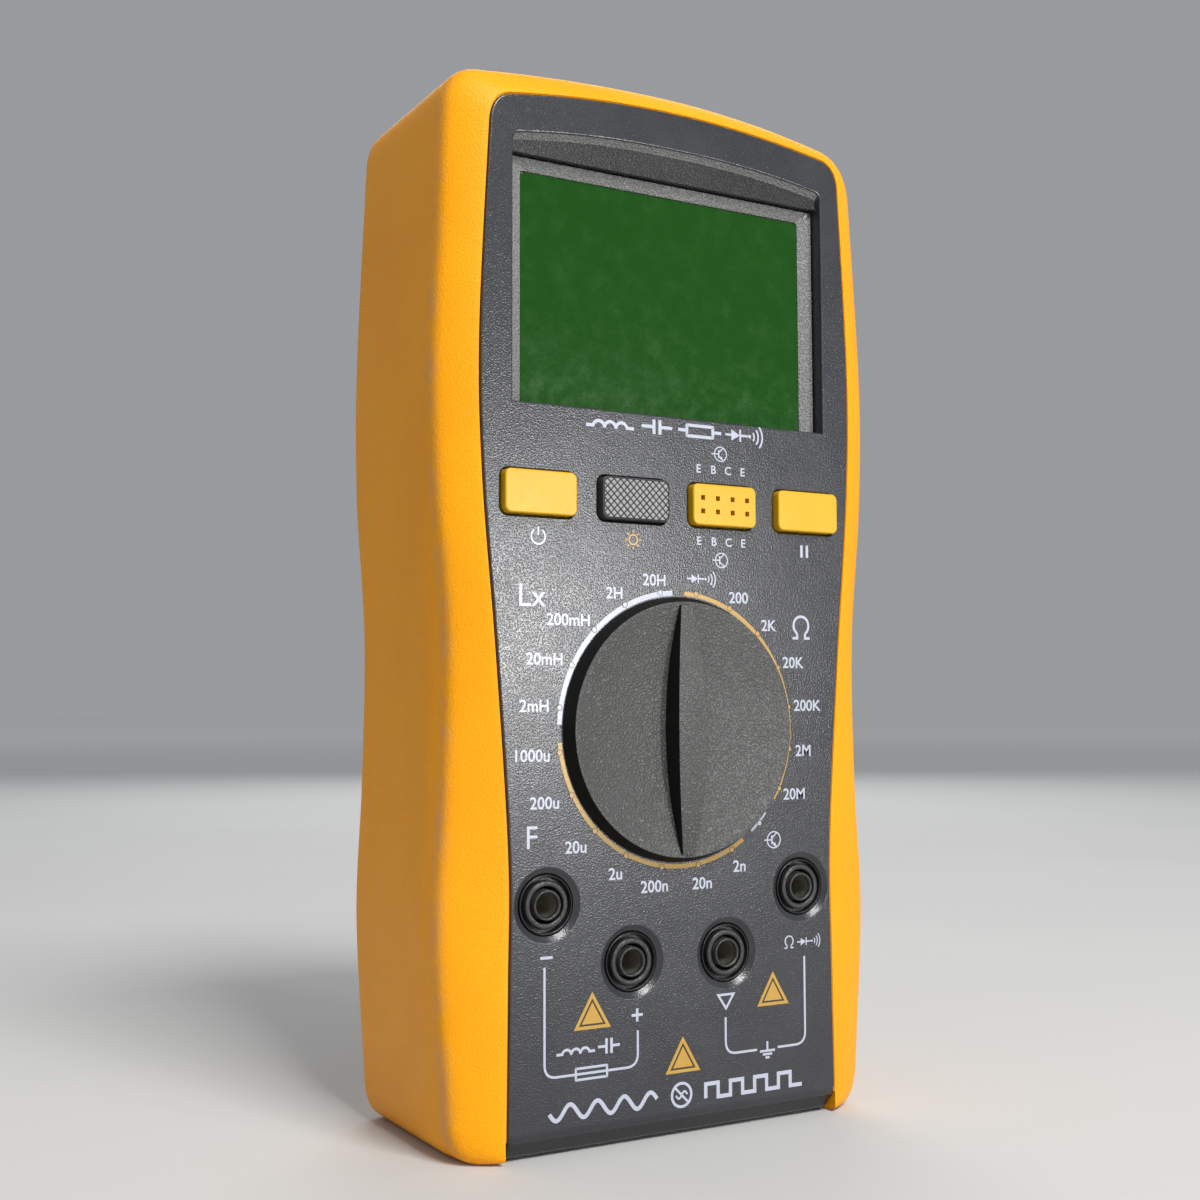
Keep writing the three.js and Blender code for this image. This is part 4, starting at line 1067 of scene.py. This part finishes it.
class Print:
    """Ink on the panel: thin solids, a few hundredths of a millimetre proud of it.

    Each stroke lies a few microns proud of the one before, so that crossing strokes don't share a face.
    """

    BACK = 0.02
    FRONT = -0.02
    LEVEL = 0.0025
    LEVELS = 20

    def __init__(self, lift=0.0):
        self.points = []
        self.faces = []
        self.lift = lift
        self.strokes = 0

    @property
    def front(self):
        return self.FRONT - self.lift - self.LEVEL * (self.strokes % self.LEVELS)

    def strip(self, left, right, closed=False):
        """A band between two rows of points."""
        self.strokes += 1
        base = len(self.points)
        count = len(left)
        for pair in zip(left, right):
            self.points += [at(x, depth, z) for depth in (self.front, self.BACK) for x, z in pair]
        for index in range(count if closed else count - 1):
            a = base + 4 * index
            b = base + 4 * ((index + 1) % count)
            self.faces += [(a, a + 1, b + 1, b), (a + 2, b + 2, b + 3, a + 3), (a, b, b + 2, a + 2),
                           (a + 1, a + 3, b + 3, b + 1)]
        if not closed:
            last = base + 4 * (count - 1)
            self.faces += [(base, base + 2, base + 3, base + 1), (last, last + 1, last + 3, last + 2)]

    def stroke(self, points, width, closed=False):
        """A line of even width with mitred corners."""
        count = len(points)
        left, right = [], []
        for index in range(count):
            here = Vector(points[index])
            before = Vector(points[index - 1]) if closed or index else None
            after = Vector(points[(index + 1) % count]) if closed or index < count - 1 else None
            normals = []
            for start, end in ((before, here), (here, after)):
                if start is not None and end is not None:
                    along = (end - start).normalized()
                    normals.append(Vector((-along.y, along.x)))
            both = normals[0] + normals[-1]
            offset = both * (width / max(both.length_squared, 0.5))
            left.append(tuple(here + offset))
            right.append(tuple(here - offset))
        self.strip(left, right, closed)

    def arc(self, centre, radius, width, start, end):
        """A circular band; angles in degrees, clockwise from straight up."""
        steps = max(6, int(abs(end - start) / 3))
        angles = [math.radians(start + (end - start) * step / steps) for step in range(steps + 1)]
        edge = [[(centre[0] + r * math.sin(a), centre[1] + r * math.cos(a)) for a in angles]
                for r in (radius + width / 2, radius - width / 2)]
        self.strip(edge[0], edge[1])

    def ring(self, centre, radius, width):
        outer = circle(radius + width / 2, *centre, steps=48)
        inner = circle(radius - width / 2, *centre, steps=48)
        self.strip(outer, inner, closed=True)

    def fill(self, outline):
        self.strokes += 1
        base = len(self.points)
        count = len(outline)
        self.points += [at(x, self.front, z) for x, z in outline]
        self.points += [at(x, self.BACK, z) for x, z in outline]
        self.faces.append(tuple(base + index for index in range(count)))
        self.faces.append(tuple(base + count + index for index in reversed(range(count))))
        for index in range(count):
            beside = (index + 1) % count
            self.faces.append((base + index, base + count + index, base + count + beside, base + beside))

    def dot(self, centre, radius):
        self.fill(circle(radius, *centre, steps=28))

    def text(self, words, x, z, height, heavy=0.022):
        """Digits and unit letters, centred, with capitals of the given height."""
        curve = bpy.data.curves.new("letters", "FONT")
        curve.body = words
        curve.size = height / CAP_SHARE
        curve.offset = heavy * height
        curve.resolution_u = 4
        curve.align_x = "CENTER"
        carrier = link("letters", curve)
        bpy.context.view_layer.update()
        graph = bpy.context.evaluated_depsgraph_get()
        mesh = bpy.data.meshes.new_from_object(carrier.evaluated_get(graph))
        build = bmesh.new()
        build.from_mesh(mesh)
        bmesh.ops.remove_doubles(build, verts=build.verts, dist=1e-4)
        base = len(self.points)
        build.verts.ensure_lookup_table()
        count = len(build.verts)
        for depth in (self.front, self.BACK):
            self.points += [at(x + vert.co.x, depth, z - height / 2 + vert.co.y) for vert in build.verts]
        for face in build.faces:
            corners = [vert.index for vert in face.verts]
            self.faces.append(tuple(base + corner for corner in corners))
            self.faces.append(tuple(base + count + corner for corner in reversed(corners)))
        for edge in build.edges:
            if len(edge.link_faces) == 1:
                a, b = edge.verts[0].index, edge.verts[1].index
                self.faces.append((base + a, base + b, base + count + b, base + count + a))
        build.free()
        bpy.data.meshes.remove(mesh)
        bpy.data.objects.remove(carrier)
        bpy.data.curves.remove(curve)

    def finish(self, name, material):
        piece = from_faces(name, self.points, self.faces)
        return dress(piece, "case", material, "panel_plastic", sharp=30)


CAP_SHARE = 0.729            # height of a capital in the built-in letters, as a share of their size

DIAL_DOTS = 25.0             # radius of the circle of dots
DOT_STEP = 18
RANGES = ["", "200", "2K", "20K", "200K", "2M", "20M", "", "2n", "20n", "200n", "2u", "20u", "200u",
          "1000u", "2mH", "20mH", "200mH", "2H", "20H"]
WHITE_FROM = 15              # the first inductance range
GAIN_RANGE = 7               # the transistor range
LABEL_RADIUS = 27.4
LABEL_LIMIT = 34.5           # no label reaches further sideways than this
LETTER = 2.15
LETTER_WIDTH = 0.8           # average width of a letter, as a share of its height
LINE = 0.42


def dial_point(number, radius):
    angle = math.radians(DOT_STEP * (number + 0.5))
    return radius * math.sin(angle), DIAL_Z + radius * math.cos(angle)


def label_place(number, words):
    """Labels hang outwards from their dots, and stay clear of the panel's edge."""
    x, z = dial_point(number, LABEL_RADIUS)
    width = LETTER * LETTER_WIDTH * len(words)
    lean = abs(x) / LABEL_RADIUS
    outwards = lean ** 0.6 * width * (0.5 if x < 0 else 0.3)
    across = min(abs(x) + outwards, LABEL_LIMIT - width / 2)
    drop = 0.9 if z < DIAL_Z and lean < 0.8 else 0.0
    return math.copysign(across, x), z - drop


def print_dial(white, yellow, dark):
    """The range dots, the coloured bands between them and the range labels."""
    edge = DOT_STEP / 2
    band = DIAL_DOTS - 0.25
    white.arc((0, DIAL_Z), band, 0.95, -edge - 4.6 * DOT_STEP + 4, -3)
    yellow.arc((0, DIAL_Z), band, 0.8, 3, edge + 6.3 * DOT_STEP)
    yellow.arc((0, DIAL_Z), band, 0.8, edge + 7.6 * DOT_STEP, 360 - edge - 4.45 * DOT_STEP - 6)
    for number, words in enumerate(RANGES):
        pen = white if number >= WHITE_FROM or number == GAIN_RANGE else yellow
        pen.dot(dial_point(number, DIAL_DOTS), 0.52)
        dark.ring(dial_point(number, DIAL_DOTS), 0.5, 0.11)
        if words:
            white.text(words, *label_place(number, words), LETTER)
    white.arc((0, DIAL_Z), band, 0.5, edge + 6.7 * DOT_STEP, edge + 7.3 * DOT_STEP)
    x, z = dial_point(GAIN_RANGE, LABEL_RADIUS + 2.2)
    transistor(white, x, z, 1.5, outward=True)
    x, z = dial_point(0, LABEL_RADIUS)
    diode_and_sound(white, x + 0.9, z + 0.5, 1.0)


def diode_and_sound(pen, x, z, scale):
    """A diode followed by a sounder's three arcs."""
    pen.stroke([(x - 3.3 * scale, z), (x - 2.2 * scale, z)], 0.3 * scale)
    pen.fill([(x - 2.3 * scale, z - 0.8 * scale), (x - 0.9 * scale, z), (x - 2.3 * scale, z + 0.8 * scale)])
    pen.stroke([(x - 0.8 * scale, z - 0.85 * scale), (x - 0.8 * scale, z + 0.85 * scale)], 0.3 * scale)
    pen.stroke([(x - 0.7 * scale, z), (x + 0.5 * scale, z)], 0.3 * scale)
    pen.dot((x + 0.8 * scale, z), 0.25 * scale)
    for reach in (0.9, 1.6, 2.3):
        pen.arc((x + 0.7 * scale, z), reach * scale, 0.26 * scale, 50, 130)


def omega(pen, x, z, height):
    radius = height * 0.4
    line = height * 0.11
    middle = z + height * 0.1
    pen.arc((x, middle), radius, line, -148, 148)
    foot = z - height / 2 + line / 2
    side = radius * math.sin(math.radians(32))
    low = middle - radius * math.cos(math.radians(32))
    for sign in (-1, 1):
        path = [(side, low), (side, foot), (height * 0.46, foot)]
        pen.stroke([(x + sign * across, up) for across, up in path], line)


def transistor(pen, x, z, size, outward):
    """A bipolar transistor's symbol; the arrow points out of the base or into it."""
    line = size * 0.16
    pen.ring((x, z), size, line)
    bar = x - size * 0.3
    pen.stroke([(bar, z - size * 0.55), (bar, z + size * 0.55)], line * 1.3)
    pen.stroke([(x - size * 1.5, z), (bar, z)], line)
    pen.stroke([(bar, z + size * 0.18), (x + size * 0.42, z + size * 0.85)], line)
    pen.stroke([(bar, z - size * 0.18), (x + size * 0.42, z - size * 0.85)], line)
    head = Vector((0.72, -0.67)).normalized()
    across = Vector((-head.y, head.x))
    root = Vector((bar + size * (0.62 if outward else 0.45), z - size * (0.77 if outward else 0.6)))
    way = head if outward else -head
    tip = root + way * size * 0.1
    tail = root - way * size * 0.42
    pen.fill([tuple(tip), tuple(tail + across * size * 0.26), tuple(tail - across * size * 0.26)])


def coil(pen, x, z, width, line):
    """An inductor: three open humps between two leads."""
    hump = width / 8.4
    start = x - 3 * hump
    pen.stroke([(x - width / 2, z), (start + line / 2, z)], line)
    for index in range(3):
        pen.arc((start + hump * (2 * index + 1), z - line / 2), hump, line, -90, 90)
    pen.stroke([(x + 3 * hump - line / 2, z), (x + width / 2, z)], line)


def capacitor(pen, x, z, width, height, line):
    plate = line * 1.1
    for sign in (-1, 1):
        pen.stroke([(x + sign * plate, z - height / 2), (x + sign * plate, z + height / 2)], line * 1.1)
        pen.stroke([(x + sign * plate, z), (x + sign * width / 2, z)], line)


def resistor(pen, x, z, width, height, line):
    pen.stroke(rounded_rectangle(width * 0.3, height / 2, 0.05, x, z, 1), line, closed=True)
    for sign in (-1, 1):
        pen.stroke([(x + sign * width * 0.3, z), (x + sign * width / 2, z)], line)


def fuse_symbol(pen, x, z, width, height, line):
    pen.stroke(rounded_rectangle(width / 2 - 1, height / 2, 0.05, x, z, 1), line, closed=True)
    pen.stroke([(x - width / 2, z), (x + width / 2, z)], line)


def power_symbol(pen, x, z, radius):
    pen.arc((x, z), radius, radius * 0.26, 35, 325)
    pen.stroke([(x, z + radius * 0.15), (x, z + radius * 1.25)], radius * 0.26)


def sun_symbol(pen, x, z, radius):
    pen.ring((x, z), radius * 0.52, radius * 0.16)
    for ray in range(8):
        angle = math.radians(45 * ray)
        pen.stroke([(x + reach * radius * math.sin(angle), z + reach * radius * math.cos(angle))
                    for reach in (0.72, 1.0)], radius * 0.15)


def pause_symbol(pen, x, z, height):
    for sign in (-1, 1):
        pen.fill(rounded_rectangle(height * 0.12, height / 2, 0.1, x + sign * height * 0.27, z, 2))


def triangle(yellow, dark, x, z, width):
    """A plain double triangle."""
    height = width * 0.86
    low = z - height * 0.42
    corners = [(x - width / 2, low), (x + width / 2, low), (x, low + height)]
    yellow.fill(corners)
    dark.stroke(inset(corners, width * 0.1), width * 0.045, closed=True)


def ground_symbol(pen, x, z, size):
    pen.stroke([(x, z + size), (x, z)], LINE)
    for step, half in enumerate((size, size * 0.62, size * 0.28)):
        pen.stroke([(x - half, z - step * size * 0.36), (x + half, z - step * size * 0.36)], LINE)


def bracket(pen, x0, top0, x1, top1, bottom, gap_from, gap_to):
    """Lines from two jacks down to a shared foot, with a gap in the foot for a symbol."""
    radius = 2.3
    for x, top, stop, sign in ((x0, top0, gap_from, 1), (x1, top1, gap_to, -1)):
        turn = bend_points((x, bottom + radius), (x, bottom), (x + sign * radius, bottom), 8)
        pen.stroke([(x, top), (x, bottom + radius)] + turn + [(stop, bottom)], LINE)


def make_prints():
    white, yellow, dark = Print(), Print(), Print(0.02)
    print_dial(white, yellow, dark)

    title_z = DIAL_Z + 55.1
    bold = 0.58
    coil(white, -14.3, title_z - 0.8, 10.0, bold)
    capacitor(white, -4.4, title_z, 6.6, 2.7, bold)
    resistor(white, 5.0, title_z, 9.6, 2.0, bold)
    diode_and_sound(white, 15.2, title_z, 1.35)

    for words, z in (("Lx", 23.5), ("F", -18.2)):
        white.text(words, -30.2, DIAL_Z + z, 4.1, 0)
    omega(white, 27.9, DIAL_Z + 19, 4.4)

    socket_x = KEY_X["transistor_socket"]
    for z in (48.2, 34.7):
        for index, letter in enumerate("EBCE"):
            white.text(letter, socket_x + (index - 1.5) * SOCKET_PITCH, DIAL_Z + z, 1.6)
    transistor(white, socket_x, DIAL_Z + 51.2, 1.35, outward=True)
    transistor(white, socket_x, DIAL_Z + 31.2, 1.35, outward=False)

    label_z = DIAL_Z + 33.8
    power_symbol(white, KEY_X["power_button"], label_z - 0.1, 1.35)
    sun_symbol(yellow, KEY_X["backlight_button"], DIAL_Z + 34.1, 1.7)
    pause_symbol(white, KEY_X["hold_button"], label_z, 2.4)

    white.stroke([(-28.5, DIAL_Z - 38.9), (-26.1, DIAL_Z - 38.9)], LINE * 1.15)
    plus_x, plus_z = -9.2, DIAL_Z - 50.3
    for dx, dz in ((1.15, 0), (0, 1.15)):
        white.stroke([(plus_x - dx, plus_z - dz), (plus_x + dx, plus_z + dz)], LINE * 1.15)
    foot = DIAL_Z - 59.2
    bracket(white, -27.7, DIAL_Z - 40.5, -9.1, DIAL_Z - 53, foot, -22.6, -14.4)
    fuse_symbol(white, -18.5, foot, 8.2, 1.9, LINE)
    coil(white, -21.6, DIAL_Z - 55.5, 7.6, LINE * 1.1)
    capacitor(white, -15.0, DIAL_Z - 55.0, 4.4, 2.6, LINE * 1.1)

    common_x, common_z = 9.75, DIAL_Z - 49.5
    corners = ((-1.7, 1.0), (1.7, 1.0), (0, -1.5))
    white.stroke([(common_x + dx, common_z + dz) for dx, dz in corners], LINE, closed=True)
    omega(white, 24.2, DIAL_Z - 40.2, 2.3)
    diode_and_sound(white, 28.9, DIAL_Z - 40.3, 0.85)
    bracket(white, 9.65, DIAL_Z - 52.6, 27.7, DIAL_Z - 43, foot, 16.6, 21.3)
    ground_symbol(white, 18.95, foot - 0.4, 1.7)

    triangle(yellow, dark, -18.3, DIAL_Z - 49.1, 7.4)
    triangle(yellow, dark, 20.35, DIAL_Z - 48.8, 7.2)
    triangle(yellow, dark, 0.35, DIAL_Z - 58.7, 7.4)

    print_foot(white)
    white.finish("print_white", INK_WHITE)
    yellow.finish("print_yellow", INK_YELLOW)
    dark.finish("print_dark", INK_DARK)


def print_foot(pen):
    """Along the foot: a crossed-out wave between a sine train and a square train."""
    z = DIAL_Z - 65.3
    line, swing, period, cycles, start = 0.72, 1.25, 5.4, 4, 5.2
    pen.ring((0, z), 2.05, 0.5)
    pen.stroke(wave(-1.2, 2.4, 0.6, 1, z, 24, phase=0.5), 0.36)
    pen.stroke([(-1.35, z + 1.35), (1.35, z - 1.35)], 0.42)
    pen.stroke(wave(-start, -period, swing, cycles, z, 16), line)
    square = []
    for cycle in range(cycles):
        left = start + cycle * period
        middle = left + period / 2
        square += [(left, z - swing), (left, z + swing), (middle, z + swing), (middle, z - swing)]
    pen.stroke(square + [(start + cycles * period, z - swing)], line)


def wave(start, period, swing, cycles, z, steps, phase=0.0):
    """Points along a sine wave; the period is negative where it runs to the left."""
    points = []
    for step in range(cycles * steps + 1):
        share = step / steps
        points.append((start + period * share, z + swing * math.sin(2 * math.pi * (share - phase))))
    return points


# ---------------------------------------------------------------- pieces that keep their CAD shape

def carry_over():
    looks = {
        "lcd_glass": GLASS, "fuse": GLASS, "lcd_backlight": WHITE_PLASTIC, "switch_rotor": WHITE_PLASTIC,
        "zebra_strip_lower": BLACK_RUBBER, "zebra_strip_upper": BLACK_RUBBER, "battery_snap": BLACK_RUBBER,
        "detent_ring": BLACK_PLASTIC, "power_switch": BLACK_PLASTIC, "backlight_switch": BLACK_PLASTIC,
        "hold_switch": BLACK_PLASTIC, "main_chip": BLACK_PLASTIC, "buzzer": BLACK_PLASTIC,
        "circuit_board": BOARD, "trimmer": BLUE_PLASTIC, "battery_lead_red": RED_PLASTIC,
        "battery_lead_black": BLACK_PLASTIC, "wiper_contact_lower": BRASS, "wiper_contact_upper": BRASS,
        "fuse_clip_left": BRASS, "fuse_clip_right": BRASS, "detent_ball_left": STEEL,
        "detent_ball_right": STEEL, "detent_spring_left": STEEL, "detent_spring_right": STEEL,
    }
    for number in range(1, 5):
        looks[f"case_screw_{number}"] = STEEL
        looks[f"board_screw_{number}"] = STEEL
    for name, material in looks.items():
        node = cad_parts[name]
        if node.data.materials:
            node.material_slots[0].link = "OBJECT"
            node.material_slots[0].material = material
        else:
            node.data.materials.append(material)


# ---------------------------------------------------------------- light and floor

MIDDLE = Vector((0, -0.01, 0.1))     # of the meter, in metres
FLOOR_REACH = 30.0                   # metres


def area_light(name, place, size, power, colour=(1, 1, 1)):
    """A square light aimed at the middle of the meter; places and sizes are in metres."""
    data = bpy.data.lights.new(name, "AREA")
    data.shape = "RECTANGLE"
    data.size = size
    data.size_y = size
    data.energy = power
    data.color = colour
    light = bpy.data.objects.new(name, data)
    light.location = place
    light.rotation_euler = (MIDDLE - light.location).to_track_quat("-Z", "Y").to_euler()
    bpy.context.scene.collection.objects.link(light)


def make_studio():
    area_light("soft_box", (0.035, -1.0, 1.09), 0.5, 19, (1.0, 0.99, 0.97))
    area_light("glint", (0.49, -1.09, 0.155), 0.13, 4.6)
    area_light("back_fill", (0.55, 1.0, 0.8), 0.8, 5)
    world = bpy.data.worlds.new("world")
    world.use_nodes = True
    world.node_tree.nodes["Background"].inputs["Color"].default_value = (0.93, 0.96, 1.0, 1)
    world.node_tree.nodes["Background"].inputs["Strength"].default_value = 0.34
    bpy.context.scene.world = world
    floor = link("floor", bpy.data.meshes.new("floor"))
    corners = [(x * FLOOR_REACH, y * FLOOR_REACH, 0) for x, y in ((-1, -1), (1, -1), (1, 1), (-1, 1))]
    floor.data.from_pydata(corners, [], [(0, 1, 2, 3)])
    pale = Finish("floor", linear(205, 205, 204), 0.75, specular=0.1)
    pale.tint(pale.steps(pale.noise(180, 3), 0.3, 0.7), linear(210, 210, 209), 0.5)
    squares = [pale.math("POWER", pale.coordinate(axis), 2) for axis in "XY"]
    distance = pale.math("SQRT", pale.math("ADD", *squares))
    pale.tint(pale.steps(distance, 300, 4500), linear(254, 254, 255))
    floor.data.materials.append(pale.material)
    bpy.context.scene.view_settings.view_transform = "Standard"


make_boot()
make_front()
make_back()
make_display()
make_knob()
make_keys()
make_jacks()
make_stand()
make_door()
make_battery()
make_prints()
carry_over()
make_studio()
